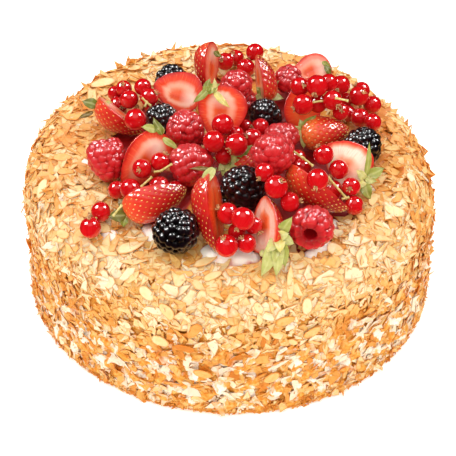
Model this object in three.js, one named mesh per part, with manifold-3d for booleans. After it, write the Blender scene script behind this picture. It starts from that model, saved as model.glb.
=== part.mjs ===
// A round cream cake coated with toasted almond flakes, under a heap of strawberries, raspberries,
// brambles and red currants. Millimetres, +Z up. The origin is the centre of the flat base, and
// the front of the cake faces -Y.
import * as THREE from 'three';
import { mergeVertices } from 'three/addons/utils/BufferGeometryUtils.js';
import Module from 'manifold-3d';

const wasm = await Module();
wasm.setup();

// Driving dimensions of the cake.
const cake = {
  radius: 98.5,
  height: 76.5,
  shoulder: 20, // radius of the rounded top edge
  footInset: 1.5, // how far the wall draws in at the base
  unevenness: 0.9, // how far the cream wanders in and out
  around: 48,
};

// The bed of cream under the fruit, a low dome with no flakes on it.
const bed = { radius: 68, rise: 4 };

// The flakes large enough to stand out of the coat.
const almonds = {
  count: 92,
  corners: 5,
  length: 13,
  width: 8.5,
  thickness: 0.9,
  lowest: 8,
  tilt: 0.62, // radians, the steepest that a flake stands out of the coat
};

const sepalSize = { length: 10, width: 4.4, thickness: 0.55 };
const stalkRadius = 0.65;

// The view the fruit was laid out from: elevation and focal length of the photograph's camera, its
// distance from the middle of the cake, and the pixel where it sees that middle.
const view = {
  elevation: THREE.MathUtils.degToRad(41.5),
  distance: 700,
  focalPixels: 1410,
  aimHeight: 39,
  centrePixel: [229, 206],
};

// How the heap is laid. Clearances are tested on a square grid seen from above.
const heap = {
  cell: 0.5,
  halfWidth: 150,
  clearance: 0.35,
  startAbove: 60,
  step: 0.5,
  drawnIn: { half: 0.72, whole: 0.72, raspberry: 0.72, bramble: 0.72, sprig: 0.92 },
  rounds: 600,
  pull: 0.2,
  sink: 0.2,
  gap: 0.4,
  rolls: 5,
  stiffness: 0.5,
};

// Fruit from the back and bottom of the heap to the front and top. Each has the pixel of its middle
// and its length and width. points is the way its tip lies in the picture, in degrees from the
// right, and leans is how far the tip comes towards the viewer. roll turns it about its own length,
// 0 showing a cut face to the viewer. leaves lists the sepals as degrees round the stem end. The
// currants of a sprig are given by the pixel of the first one and, for each, the millimetres right
// of and above that one, its diameter and, as a fourth number, how far it lies in front.
const solidPiece = (form) => (name, seen, [long, wide], turns) => {
  return { name, form, seen, long, wide, ...turns };
};
const half = solidPiece('half');
const whole = solidPiece('whole');
const raspberry = solidPiece('raspberry');
const bramble = solidPiece('bramble');
const currants = (name, seen, berries) => ({ name, form: 'sprig', seen, berries });

const fruit = [
  half('strawberry_back_right', [311, 75], [21, 18], { points: 200, roll: 15, leaves: [60, 120] }),
  half('strawberry_back_left', [203, 68], [26, 18], { points: -95, leans: 5, roll: -68, leaves: [40] }),
  bramble('bramble_back_left', [172, 80], [16, 15], { points: 100, leans: 20 }),
  raspberry('raspberry_back_right', [287, 79], [14, 13], { points: 60 }),
  currants('currants_back_a', [225, 62], [[0, 0, 9], [5.4, 2.5, 8.5]]),
  currants('currants_back_b', [246, 68], [[0, 0, 9.6], [4.5, 8, 9]]),
  raspberry('raspberry_top_low', [243, 102], [12, 11], { points: -60, leans: 30 }),
  half('strawberry_top_right', [270, 78], [25, 18],
    { points: 96, leans: 10, roll: -80, leaves: [-150, -100, -50, 0, 50] }),
  raspberry('raspberry_top', [236, 84], [15, 13.5], { points: 90, leans: 60 }),
  half('strawberry_left_top', [177, 92], [24, 20], { points: 165, roll: 5 }),
  currants('currants_left_b', [149, 96], [[0, 0, 9], [-3.4, 5.4, 8.5], [2, -4.8, 9]]),
  currants('currants_left_a', [133, 97], [[0, 0, 9.3], [-5.8, -2.4, 9], [-2.9, 5.8, 8], [-7.7, 3.9, 7.5]]),
  half('strawberry_left', [115, 123], [27, 21], { points: -38, roll: -82, leaves: [100, 180] }),
  currants('currant_left_low', [135, 119], [[0, 0, 10.6]]),
  raspberry('raspberry_left', [107, 159], [20, 16], { points: -80, leans: 10 }),
  bramble('bramble_mid_left', [168, 124], [15, 13.5], { points: 160, leans: 30 }),
  half('strawberry_mid_left', [139, 158], [31, 20.5], { points: -128, roll: -25, leaves: [20, 70, 130] }),
  half('strawberry_right_flank', [301, 104], [25, 18], { points: 80, roll: 10 }),
  currants('currants_right_b', [359, 98],
    [[0, 0, 9.8], [7, -3.9, 9], [-8.8, 5.4, 9.3], [2, 3.4, 8.5], [-6, -2, 8.5]]),
  currants('currants_right_a', [316, 88], [[0, 0, 10.3], [-7.9, 0, 9], [5.9, 2, 8.5]]),
  currants('currants_right_d', [372, 121], [[0, 0, 8.6], [-5.4, 2.5, 9.3], [-10.8, 5, 8.5]]),
  currants('currants_right_c', [302, 106], [[0, 0, 10], [13.7, 2, 9.3], [18, -3, 8], [7.3, 1, 9]]),
  bramble('bramble_top', [265, 114], [16, 13], { points: -20, leans: 20 }),
  half('strawberry_top', [221, 114], [26, 23], { points: -97, roll: 5, leaves: [30, 70, 110, 150] }),
  raspberry('raspberry_mid_left', [183, 127], [17, 16], { points: 200, leans: 40 }),
  whole('strawberry_right_whole', [328, 129], [24, 16.5], { points: 7, leaves: [20, 90, 150, 220, 290] }),
  bramble('bramble_right', [362, 145], [18, 16], { points: -60, leans: 20 }),
  currants('currants_centre_c', [252, 136], [[0, 0, 9.8], [3.8, 5.6, 8.8], [-3.3, 6.1, 7.5]]),
  currants('currants_centre_a', [222, 122], [[0, 0, 10.3], [6, -4.2, 8]]),
  currants('currants_centre_b', [211, 142], [[0, 0, 10.3], [10.3, -1.4, 10.6], [4.5, -6.5, 8.5]]),
  raspberry('raspberry_right_rear', [281, 139], [16, 14], { points: 30, leans: 10 }),
  whole('strawberry_centre', [253, 163], [20, 13], { points: 10, leaves: [0, 70, 140, 210, 290] }),
  raspberry('raspberry_right', [275, 153], [17, 17], { points: 100, leans: 65 }),
  raspberry('raspberry_mid', [191, 165], [19, 17], { points: 20, leans: 15 }),
  currants('currants_mid_left_b', [144, 167], [[0, 0, 9], [8.1, 3.1, 9]]),
  currants('currants_mid_left_c', [161, 182], [[0, 0, 9.6], [7, -1.4, 8.5]]),
  currants('currants_mid_left_a', [131, 189], [[0, 0, 9.8], [-6.6, -0.4, 8.5]]),
  half('strawberry_right_pale', [347, 160], [24, 21], { points: 142, leaves: [40, 90, 150] }),
  currants('currants_far_right', [353, 206], [[0, 0, 9], [-1.3, 8.4, 8.5]]),
  currants('currants_right_mid_b', [302, 168], [[0, 0, 8.5], [-1.9, 4.6, 8]]),
  currants('currant_right_low', [330, 191], [[0, 0, 9.5]]),
  half('strawberry_right_wedge', [313, 191], [33, 23], { points: -37, roll: -95, leaves: [150] }),
  currants('currants_right_mid_a', [339, 169], [[0, 0, 9.2], [-7, 6.6, 9.5]]),
  currants('currant_right_mid_c', [317, 178], [[0, 0, 9.7]]),
  bramble('bramble_centre', [243, 188], [21, 19.5], { points: 60, leans: 55 }),
  currants('currants_front_c', [276, 184], [[0, 0, 10.4], [6.2, -6.6, 9], [-5, 6.5, 8.5]]),
  half('strawberry_left_low', [157, 207], [30, 20], { points: 18, roll: -128, leaves: [120, 180, 240] }),
  half('strawberry_front', [205, 212], [36, 21],
    { points: -84, leans: 5, roll: -72, leaves: [60, 120, 180] }),
  bramble('bramble_front_left', [183, 231], [19, 19], { points: -60, leans: 45 }),
  currants('currants_left_pair', [90, 227], [[0, 0, 9.7], [4, 7, 9.3, -7]]),
  raspberry('raspberry_front_right', [310, 228], [18, 17], { points: 70, leans: -55 }),
  half('strawberry_front_right', [272, 226], [26, 19],
    { points: 88, leans: -10, roll: -52, leaves: [-60, -20, 20, 60, 100, 140] }),
  currants('currants_front_a', [245, 219], [[0, 0, 10.4], [-6.6, 2.2, 9.7], [4.8, -3, 8]]),
  currants('currants_front_b', [232, 239], [[0, 0, 10.2], [8.7, 0.9, 8.6], [4.5, 6, 8]]),
];

const colours = {
  cake: 0xe9b566,
  strawberry: 0xd8251c,
  raspberry: 0xb5122b,
  bramble: 0x1b0f17,
  currant: 0xc40d17,
};

const goldenAngle = Math.PI * (3 - Math.sqrt(5));

const point = (x, y, z) => new THREE.Vector3(x, y, z);

const steps = (count, make) => Array.from({ length: count }, (_, i) => make(i));

// A repeatable random number from 0 to 1.
function randomFrom(seed) {
  let state = seed;
  return () => {
    state = (state + 0x6d2b79f5) | 0;
    let mixed = Math.imul(state ^ (state >>> 15), 1 | state);
    mixed = (mixed + Math.imul(mixed ^ (mixed >>> 7), 61 | mixed)) ^ mixed;
    return ((mixed ^ (mixed >>> 14)) >>> 0) / 4294967296;
  };
}

// A closed surface through rings of equally many points, with each end drawn to its pole. The far
// half of each ring is split the other way, so that the two faces of a thin piece match.
function surfaceThrough(startPole, rings, endPole) {
  const around = rings[0].length;
  const points = [startPole, ...rings.flat(), endPole];
  const last = points.length - 1;
  const faces = [];
  for (let i = 0; i < around; i++) {
    const next = (i + 1) % around;
    faces.push([0, 1 + next, 1 + i], [last - around + i, last - around + next, last]);
    for (let ring = 0; ring + 1 < rings.length; ring++) {
      const low = 1 + ring * around;
      const high = low + around;
      if (i < around / 2) faces.push([low + i, low + next, high + next], [low + i, high + next, high + i]);
      else faces.push([low + i, low + next, high + i], [low + next, high + next, high + i]);
    }
  }
  const volume = faces.reduce((sum, [a, b, c]) => {
    return sum + points[a].dot(points[b].clone().cross(points[c]));
  }, 0);
  return new THREE.BufferGeometry()
    .setFromPoints(points)
    .setIndex((volume < 0 ? faces.map(([a, b, c]) => [a, c, b]) : faces).flat());
}

// A three.js geometry as a solid that manifold-3d can join and cut.
function solidOf(geometry) {
  const bare = geometry.clone();
  bare.deleteAttribute('normal');
  bare.deleteAttribute('uv');
  const merged = mergeVertices(bare, 1e-4);
  return new wasm.Manifold(new wasm.Mesh({
    numProp: 3,
    vertProperties: new Float32Array(merged.attributes.position.array),
    triVerts: new Uint32Array(merged.index.array),
  }));
}

function geometryOf(solid) {
  const mesh = solid.getMesh();
  return new THREE.BufferGeometry()
    .setAttribute('position', new THREE.BufferAttribute(new Float32Array(mesh.vertProperties), 3))
    .setIndex(new THREE.BufferAttribute(new Uint32Array(mesh.triVerts), 1));
}

const joined = (geometries) => geometryOf(geometries.map(solidOf).reduce((whole, part) => whole.add(part)));

const cross = (a, b) => solidOf(a).intersect(solidOf(b)).getMesh().triVerts.length > 0;

// The cream skin at a distance down from the edge of the bed: over the flat top, round the shoulder
// and down the wall. Gives the radius, the height and the slope of the outward normal.
const flatRun = cake.radius - cake.shoulder - bed.radius;
const shoulderRun = cake.shoulder * Math.PI / 2;
const wallRun = cake.height - cake.shoulder - almonds.lowest;

function skinAt(run) {
  if (run < flatRun) return { radius: bed.radius + run, height: cake.height, slope: Math.PI / 2 };
  const turned = Math.min(1, (run - flatRun) / shoulderRun) * Math.PI / 2;
  const below = Math.max(0, run - flatRun - shoulderRun);
  return {
    radius: cake.radius - cake.shoulder * (1 - Math.sin(turned)) - cake.footInset * below / wallRun,
    height: cake.height - cake.shoulder * (1 - Math.cos(turned)) - below,
    slope: Math.PI / 2 - turned,
  };
}

// Slow waves round the wall and over the top, as a spatula leaves them.
function wanderAt(angle, height) {
  return cake.unevenness * (
    0.5 * Math.sin(3 * angle + height / 19) +
    0.3 * Math.sin(7 * angle - height / 11 + 1) +
    0.2 * Math.sin(13 * angle + height / 6 + 2));
}

function bedRiseAt(radius) {
  return bed.rise * Math.max(0, 1 - (radius / bed.radius) ** 2) ** 1.5;
}

// The cream: a wall, a rounded shoulder and the low dome of the bed, as rings from the base up.
function creamBody() {
  const shoulderSteps = 4;
  const profile = [
    [cake.radius - cake.footInset, 0],
    [cake.radius - 0.5, 0.3 * cake.height],
    ...steps(shoulderSteps + 1, (i) => {
      const turned = (i / shoulderSteps) * Math.PI / 2;
      return [
        cake.radius - cake.shoulder * (1 - Math.cos(turned)),
        cake.height - cake.shoulder * (1 - Math.sin(turned)),
      ];
    }),
    ...[0.9, 0.5].map((share) => [share * bed.radius, cake.height + bedRiseAt(share * bed.radius)]),
  ];
  const rings = profile.map(([radius, height]) => steps(cake.around, (i) => {
    const angle = (i / cake.around) * 2 * Math.PI;
    const wander = height === 0 ? 0 : wanderAt(angle, height);
    const reach = radius + wander;
    return point(reach * Math.cos(angle), reach * Math.sin(angle), height + wander / 2);
  }));
  return surfaceThrough(point(0, 0, 0), rings, point(0, 0, cake.height + bed.rise));
}

// A bent, broken slice of almond: a thin plate with an angular outline.
function flake(random) {
  const size = 0.72 + 0.45 * random();
  const bend = 0.5 + 1.3 * random();
  const outline = steps(almonds.corners, (i) => {
    const angle = ((i + 0.5 * random()) / almonds.corners) * 2 * Math.PI;
    const reach = size * (0.8 + 0.3 * random());
    return [reach * almonds.length / 2 * Math.cos(angle), reach * almonds.width / 2 * Math.sin(angle)];
  });
  const half = almonds.thickness / 2;
  const face = (lift) => outline.map(([x, y]) => point(x, y, lift - bend * (2 * x / almonds.length) ** 2));
  return surfaceThrough(point(0, 0, -half), [face(-half), face(half)], point(0, 0, half));
}

// Flakes spread evenly over the coat, turned at random, each with one edge sunk in the cream.
function flakesOnSkin() {
  const random = randomFrom(7);
  const run = flatRun + shoulderRun + wallRun;
  return steps(almonds.count, (i) => {
    const { radius, height, slope } = skinAt(((i + 0.5) / almonds.count) * run);
    const angle = i * goldenAngle;
    const outward = point(Math.cos(angle), Math.sin(angle), 0)
      .multiplyScalar(Math.cos(slope))
      .setZ(Math.sin(slope));
    const along = point(-Math.sin(angle), Math.cos(angle), 0);
    const middle = point(radius * Math.cos(angle), radius * Math.sin(angle), height)
      .addScaledVector(outward, wanderAt(angle, height) + 0.4);
    const frame = new THREE.Matrix4().makeBasis(along, outward.clone().cross(along), outward)
      .multiply(new THREE.Matrix4().makeRotationZ(2 * Math.PI * random()))
      .multiply(new THREE.Matrix4().makeRotationX((0.25 + 0.75 * random()) * almonds.tilt))
      .setPosition(middle);
    return flake(random).applyMatrix4(frame);
  });
}

// How far out the skin of a strawberry is at an angle from its stem end, as a share of the widest.
function strawberryGirth(angle) {
  const taper = 0.32;
  return Math.sin(angle) * (1 + taper * Math.cos(angle)) / (1 + taper * taper / 2);
}

// A strawberry with its tip towards +X. A half has its cut face up, towards +Z.
function strawberry(form, { long, wide }) {
  const isHalf = form === 'half';
  const lift = isHalf ? wide / 4 : 0;
  const turns = isHalf ? steps(8, (k) => -Math.PI * k / 7) : steps(9, (k) => 2 * Math.PI * k / 9);
  const rings = steps(6, (i) => {
    const angle = ((i + 1) / 7) * Math.PI;
    const reach = wide / 2 * strawberryGirth(angle);
    return turns.map((turn) => {
      return point(-long / 2 * Math.cos(angle), reach * Math.cos(turn), reach * Math.sin(turn) + lift);
    });
  });
  return surfaceThrough(point(-long / 2, 0, lift), rings, point(long / 2, 0, lift));
}

// One sepal: a thin curled blade that starts inside the stem end and bears away round the stem.
function sepal(form, { long, wide }, turnDegrees) {
  const { length, width, thickness } = sepalSize;
  const turn = THREE.MathUtils.degToRad(turnDegrees);
  const out = point(0, Math.cos(turn), Math.sin(turn));
  const side = point(0, -Math.sin(turn), Math.cos(turn));
  const start = point(-long / 2 + 1.6, 0, form === 'half' ? wide / 4 - 1.2 : 0);
  const middle = start.clone().addScaledVector(out, 0.5 * length);
  middle.x -= 2.6;
  const ring = [
    middle.clone().addScaledVector(side, width / 2),
    middle.clone().add(point(-thickness / 2, 0, 0)),
    middle.clone().addScaledVector(side, -width / 2),
    middle.clone().add(point(thickness / 2, 0, 0)),
  ];
  const tip = start.clone().addScaledVector(out, length);
  tip.x -= 1.2;
  return surfaceThrough(start.clone().addScaledVector(out, -0.6), [ring], tip);
}

// A knobbly berry with its tip towards +X. A hollow one is open at the end where it left its core.
function drupeBerry({ long, wide }, isHollow) {
  const around = 8;
  const rows = 5;
  const firstTurn = isHollow ? 0.3 : 0;
  const outside = steps(rows, (row) => {
    const angle = (firstTurn + (1 - firstTurn) * (row + 1) / (rows + 1)) * Math.PI;
    return [0.5 - 0.5 * Math.cos(angle), 0.53 * Math.sin(angle) ** 0.8 * (1 + 0.14 * Math.cos(angle))];
  });
  const profile = isHollow ? [[0.4, 0.17], [0.02, 0.28], ...outside] : outside;
  const rings = profile.map(([along, girth], row) => steps(around, (i) => {
    const turn = ((i + 0.5 * (row % 2)) / around) * 2 * Math.PI;
    const knob = (i + row) % 2 ? 1.05 : 0.95;
    const reach = wide * girth * knob;
    return point((along - 0.5) * long, reach * Math.cos(turn), reach * Math.sin(turn));
  }));
  return surfaceThrough(point(isHollow ? 0 : -long / 2, 0, 0), rings, point(long / 2, 0, 0));
}

// A round stalk between two points.
function stalk(from, to) {
  const direction = to.clone().sub(from).normalize();
  const side = point(0.3, 0.5, 0.8).cross(direction).normalize();
  const other = direction.clone().cross(side);
  const ring = (centre) => steps(3, (i) => {
    const turn = (i / 3) * 2 * Math.PI;
    return centre.clone()
      .addScaledVector(side, stalkRadius * Math.cos(turn))
      .addScaledVector(other, stalkRadius * Math.sin(turn));
  });
  return surfaceThrough(from, [ring(from), ring(to)], to);
}

// The middles of a sprig's currants in the picture's axes: right, up and towards the viewer. Each
// currant lies back against those listed before it, unless it says how far in front it lies.
function sprigMiddles(berries) {
  const middles = [];
  for (const [right, up, size, inFront] of berries) {
    const limits = middles.map(({ at, size: before }) => {
      const reach = 0.49 * (size + before);
      const apart = Math.hypot(right - at.x, up - at.y);
      return apart < reach ? at.z - Math.sqrt(reach ** 2 - apart ** 2) : 0;
    });
    middles.push({ at: point(right, up, inFront ?? Math.min(0, ...limits)), size });
  }
  return middles;
}

// The currants of a sprig, each at a share of its size, with a stalk from each to its nearest.
function sprig({ berries }, share) {
  const middles = sprigMiddles(berries);
  return joined(middles.flatMap(({ at, size }, i) => {
    const ball = new THREE.SphereGeometry(share * size / 2, 7, 5).translate(at.x, at.y, at.z);
    if (i === 0) return [ball];
    const nearest = middles.slice(0, i).sort((a, b) => a.at.distanceTo(at) - b.at.distanceTo(at))[0];
    return [ball, stalk(nearest.at, at)];
  }));
}

// The body of one piece of fruit, drawn in to a share of its size.
function fruitBody(form, piece, share) {
  if (form === 'sprig') return sprig(piece, share);
  const size = { long: share * piece.long, wide: share * piece.wide };
  if (form === 'raspberry') return drupeBerry(size, true);
  if (form === 'bramble') return drupeBerry(size, false);
  return strawberry(form, size);
}

// The picture's own axes in the cake's frame.
const picture = {
  right: point(1, 0, 0),
  up: point(0, Math.sin(view.elevation), Math.cos(view.elevation)),
  towards: point(0, -Math.cos(view.elevation), Math.sin(view.elevation)),
};

function turnOf({ points = 0, leans = 0, roll = 0 }) {
  const [pointing, leaning, rolling] = [points, leans, roll].map(THREE.MathUtils.degToRad);
  return new THREE.Matrix4().makeBasis(picture.right, picture.up, picture.towards)
    .multiply(new THREE.Matrix4().makeRotationZ(pointing))
    .multiply(new THREE.Matrix4().makeRotationY(-leaning))
    .multiply(new THREE.Matrix4().makeRotationX(rolling));
}

// The point at a height that the camera sees at a pixel.
function seenPoint([column, row], height) {
  const eye = point(0, 0, view.aimHeight).addScaledVector(picture.towards, view.distance);
  const ray = picture.towards.clone().multiplyScalar(-view.focalPixels)
    .addScaledVector(picture.right, column - view.centrePixel[0])
    .addScaledVector(picture.up, view.centrePixel[1] - row);
  return eye.addScaledVector(ray, (height - eye.z) / ray.z);
}

// The heap as spans of height that are filled, over each cell of a flat grid.
const cells = Math.round(2 * heap.halfWidth / heap.cell);
const filled = steps(cells * cells, () => []);
const cellOf = (distance) => Math.round((distance + heap.halfWidth) / heap.cell);
const middleOf = (cell) => cell * heap.cell - heap.halfWidth;

// Calls visit(column, row, height) for each grid cell whose middle one triangle covers.
function overTriangle([a, b, c], visit) {
  const area = (b.x - a.x) * (c.y - a.y) - (c.x - a.x) * (b.y - a.y);
  if (Math.abs(area) < 1e-9) return;
  for (let x = Math.ceil(Math.min(a.x, b.x, c.x)); x <= Math.max(a.x, b.x, c.x); x++) {
    for (let y = Math.ceil(Math.min(a.y, b.y, c.y)); y <= Math.max(a.y, b.y, c.y); y++) {
      const shareB = ((x - a.x) * (c.y - a.y) - (c.x - a.x) * (y - a.y)) / area;
      const shareC = ((b.x - a.x) * (y - a.y) - (x - a.x) * (b.y - a.y)) / area;
      if (shareB < -1e-6 || shareC < -1e-6 || shareB + shareC > 1 + 1e-6) continue;
      visit(x, y, a.z + shareB * (b.z - a.z) + shareC * (c.z - a.z));
    }
  }
}

// The columns that a geometry fills about its own origin, widened all round by a number of cells.
function columnsOf(geometry, margin) {
  const { index, attributes: { position } } = geometry;
  const columns = new Map();
  const visit = (x, y, z) => {
    for (let dx = -margin; dx <= margin; dx++) {
      for (let dy = -margin; dy <= margin; dy++) {
        const key = (x + dx) * 10000 + (y + dy);
        const column = columns.get(key) ?? { x: x + dx, y: y + dy, low: z, high: z };
        column.low = Math.min(column.low, z);
        column.high = Math.max(column.high, z);
        columns.set(key, column);
      }
    }
  };
  const inCells = point(1 / heap.cell, 1 / heap.cell, 1);
  for (let i = 0; i < index.count; i += 3) {
    overTriangle([0, 1, 2].map((corner) => {
      return point(0, 0, 0).fromBufferAttribute(position, index.getX(i + corner)).multiply(inCells);
    }), visit);
  }
  return [...columns.values()];
}

const spansUnder = ({ x, y }, place) => filled[(cellOf(place.y) + y) * cells + cellOf(place.x) + x];

function fillHeap(geometry, place, owner) {
  columnsOf(geometry, 0).forEach((column) => {
    spansUnder(column, place).push({ low: column.low + place.z, high: column.high + place.z, owner });
  });
}

function emptyHeap(geometry, place, owner) {
  columnsOf(geometry, 0).forEach((column) => {
    const spans = spansUnder(column, place);
    spans.splice(0, spans.length, ...spans.filter((span) => span.owner !== owner));
  });
}

function isFree(columns, place) {
  return columns.every((column) => spansUnder(column, place).every(({ low, high }) => {
    return column.low + place.z > high + heap.clearance || column.high + place.z < low - heap.clearance;
  }));
}

// Lets a piece down along the line of sight through its pixel until the heap stops it.
function letDown(geometry, seen) {
  const columns = columnsOf(geometry, 0);
  let place = seenPoint(seen, cake.height + heap.startAbove);
  for (let next = place; isFree(columns, next); next = seenPoint(seen, next.z - heap.step)) place = next;
  fillHeap(geometry, place);
  return place;
}

// Balls that stand in for a piece while the heap settles, about its own middle.
function ballsOf(form, piece) {
  if (form === 'sprig') {
    return sprigMiddles(piece.berries).map(({ at, size }) => ({ at, radius: size / 2 }));
  }
  const { long, wide } = piece;
  if (form === 'raspberry' || form === 'bramble') {
    return [-1, 1].map((end) => ({ at: point(end * (long - wide) / 2, 0, 0), radius: 0.53 * wide }));
  }
  return [0.22, 0.4, 0.6, 0.8].flatMap((share) => {
    const girth = wide / 2 * strawberryGirth(share * Math.PI);
    const radius = form === 'half' ? Math.min(girth, 0.26 * wide) : girth;
    const sides = form === 'half' ? [-1, 0, 1] : [0];
    const along = -0.47 * long * Math.cos(share * Math.PI);
    return sides.map((side) => ({ at: point(along, side * (girth - radius), 0), radius }));
  });
}

// How high the cake stands under a place, flakes and all.
function cakeTopAt({ x, y }) {
  const radius = Math.hypot(x, y);
  const over = Math.max(0, radius - (cake.radius - cake.shoulder));
  if (over >= cake.shoulder) return 0;
  const drop = cake.shoulder - Math.sqrt(cake.shoulder ** 2 - over ** 2);
  return cake.height + bedRiseAt(radius) + almonds.thickness - drop;
}

// Where one of a piece's balls is while the piece is drawn in. A sprig keeps its spacing.
function ballAt(item, ball, share) {
  return item.position.clone().addScaledVector(ball.at, item.form === 'sprig' ? 1 : share);
}

// Moves two pieces apart by the deepest overlap of their balls, the lighter one the further and the
// later one never further behind in the picture.
function pushApart(item, other, share) {
  if (item.position.distanceTo(other.position) > item.reach + other.reach + heap.gap) return;
  let worst = { overlap: 0 };
  item.balls.forEach((ball) => other.balls.forEach((block) => {
    const apart = ballAt(item, ball, share).sub(ballAt(other, block, share));
    const overlap = share * (ball.radius + block.radius) + heap.gap - apart.length();
    if (overlap > worst.overlap) worst = { overlap, apart };
  }));
  if (!worst.apart) return;
  const inFront = worst.apart.dot(picture.towards);
  if (inFront < 0) worst.apart.addScaledVector(picture.towards, -2 * inFront);
  const yields = other.bulk / (item.bulk + other.bulk);
  item.position.add(worst.apart.clone().setLength(yields * worst.overlap));
  other.position.sub(worst.apart.clone().setLength((1 - yields) * worst.overlap));
}

function liftOffCake(item, share) {
  item.balls.forEach((ball) => {
    const middle = ballAt(item, ball, share);
    const under = cakeTopAt(middle) + share * ball.radius - middle.z;
    if (under > 0 && middle.z > cake.height - cake.shoulder) item.position.z += under;
  });
}

// Swells the pieces to full size, pushing apart those that overlap, while each is drawn back to its
// line of sight and in towards the heap.
function settle(items) {
  for (let round = 0; round < heap.rounds; round++) {
    const share = Math.min(1, heap.drawnIn.half + (1 - heap.drawnIn.half) * round / (0.7 * heap.rounds));
    items.forEach((item) => {
      item.position.lerp(seenPoint(item.piece.seen, item.position.z), heap.pull);
      item.position.addScaledVector(picture.towards, -heap.sink);
    });
    items.forEach((item, i) => {
      items.slice(0, i).forEach((other) => pushApart(item, other, share));
      liftOffCake(item, share);
    });
  }
}

// Places round a point on widening balls, the ones nearer the eye first.
function placesRound(from) {
  const directions = steps(60, (i) => {
    const height = 1 - 2 * (i + 0.5) / 60;
    const across = Math.sqrt(1 - height ** 2);
    return point(across * Math.cos(i * goldenAngle), across * Math.sin(i * goldenAngle), height);
  }).sort((a, b) => b.dot(picture.towards) - a.dot(picture.towards));
  return [from, ...steps(80, (ring) => directions.map((direction) => {
    return from.clone().addScaledVector(direction, (ring + 1) * heap.cell);
  })).flat()];
}

const onGrid = ({ x, y, z }) => point(middleOf(cellOf(x)), middleOf(cellOf(y)), z);

// Moves a piece as little as it takes to be clear of all that has been placed before it.
function clearPlace(item) {
  item.columns = columnsOf(item.shape, 1);
  item.position = onGrid(placesRound(item.position).find((near) => isFree(item.columns, onGrid(near))));
  fillHeap(item.shape, item.position, item);
}

// How far a place is from the line of sight through a pixel.
function offSight(place, seen) {
  const aside = seenPoint(seen, place.z).sub(place);
  return aside.addScaledVector(picture.towards, -aside.dot(picture.towards)).length();
}

// Lets a piece roll down, step by step, for as long as it stays clear. It keeps near its line of
// sight, as every millimetre away from it counts like a climb.
function rollDown(item) {
  const climb = (place) => place.z + heap.stiffness * offSight(place, item.piece.seen) ** 2;
  emptyHeap(item.shape, item.position, item);
  for (let tries = 0; tries < 60; tries++) {
    const next = [-1, 0, 1].flatMap((x) => [-1, 0, 1].flatMap((y) => [-1, 0, 1].map((z) => {
      return item.position.clone().addScaledVector(point(x, y, z), heap.cell);
    })))
      .map((place) => ({ place, height: climb(place) }))
      .filter(({ height }) => height < climb(item.position) - 1e-6)
      .sort((a, b) => a.height - b.height)
      .find(({ place }) => isFree(item.columns, place));
    if (!next) break;
    item.position = next.place;
  }
  fillHeap(item.shape, item.position, item);
}

const material = (kind, roughness) => new THREE.MeshStandardMaterial({
  color: colours[kind],
  roughness,
  metalness: 0,
  flatShading: true,
});
const finishes = {
  cake: material('cake', 0.8),
  half: material('strawberry', 0.35),
  whole: material('strawberry', 0.35),
  raspberry: material('raspberry', 0.45),
  bramble: material('bramble', 0.25),
  sprig: material('currant', 0.15),
};

const cakeShape = joined([creamBody(), ...flakesOnSkin()]);
const origin = point(0, 0, 0);
fillHeap(cakeShape, origin);

// Each piece, drawn in, comes down on those before it. Then all swell to full size and settle.
const pieces = fruit.map((piece) => {
  const { name, form } = piece;
  const turn = turnOf(piece);
  const balls = ballsOf(form, piece).map(({ at, radius }) => ({ at: at.applyMatrix4(turn), radius }));
  const drawnIn = fruitBody(form, piece, heap.drawnIn[form]).applyMatrix4(turn);
  return {
    name,
    form,
    piece,
    turn,
    balls,
    body: fruitBody(form, piece, 1),
    reach: Math.max(...balls.map(({ at, radius }) => at.length() + radius)),
    bulk: balls.reduce((sum, { radius }) => sum + radius ** 3, 0),
    position: letDown(drawnIn, piece.seen),
  };
});
settle(pieces);

filled.forEach((spans) => spans.splice(0));
fillHeap(cakeShape, origin);
pieces.forEach((item) => {
  item.shape = item.body.clone().applyMatrix4(item.turn);
  clearPlace(item);
});
steps(heap.rolls, () => pieces.forEach(rollDown));
pieces.forEach((item) => {
  item.matrix = item.turn.clone().setPosition(item.position);
  item.inPlace = item.body.clone().applyMatrix4(item.matrix);
});

// Adds the sepals that clear everything round them.
pieces.forEach((item) => (item.piece.leaves ?? []).forEach((turnDegrees) => {
  const leaf = sepal(item.form, item.piece, turnDegrees);
  const leafInPlace = leaf.clone().applyMatrix4(item.matrix);
  const others = [cakeShape, ...pieces.filter((other) => other !== item).map((other) => other.inPlace)];
  if (others.some((other) => cross(other, leafInPlace))) return;
  item.body = joined([item.body, leaf]);
  item.inPlace = joined([item.inPlace, leafInPlace]);
}));

const group = new THREE.Group();
const cakeMesh = new THREE.Mesh(cakeShape, finishes.cake);
cakeMesh.name = 'cake';
group.add(cakeMesh);
for (const { name, form, body, turn, position } of pieces) {
  const mesh = new THREE.Mesh(body, finishes[form]);
  mesh.name = name;
  mesh.quaternion.setFromRotationMatrix(turn);
  mesh.position.copy(position);
  group.add(mesh);
}

export default group;
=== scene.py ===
# A berry cream cake: cream under a coat of toasted almond flakes, with a heap of strawberries,
# raspberries, brambles and red currants on top. Shapes are worked out in millimetres and set into
# the meshes in metres. The front of the cake faces -Y.
import math

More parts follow.
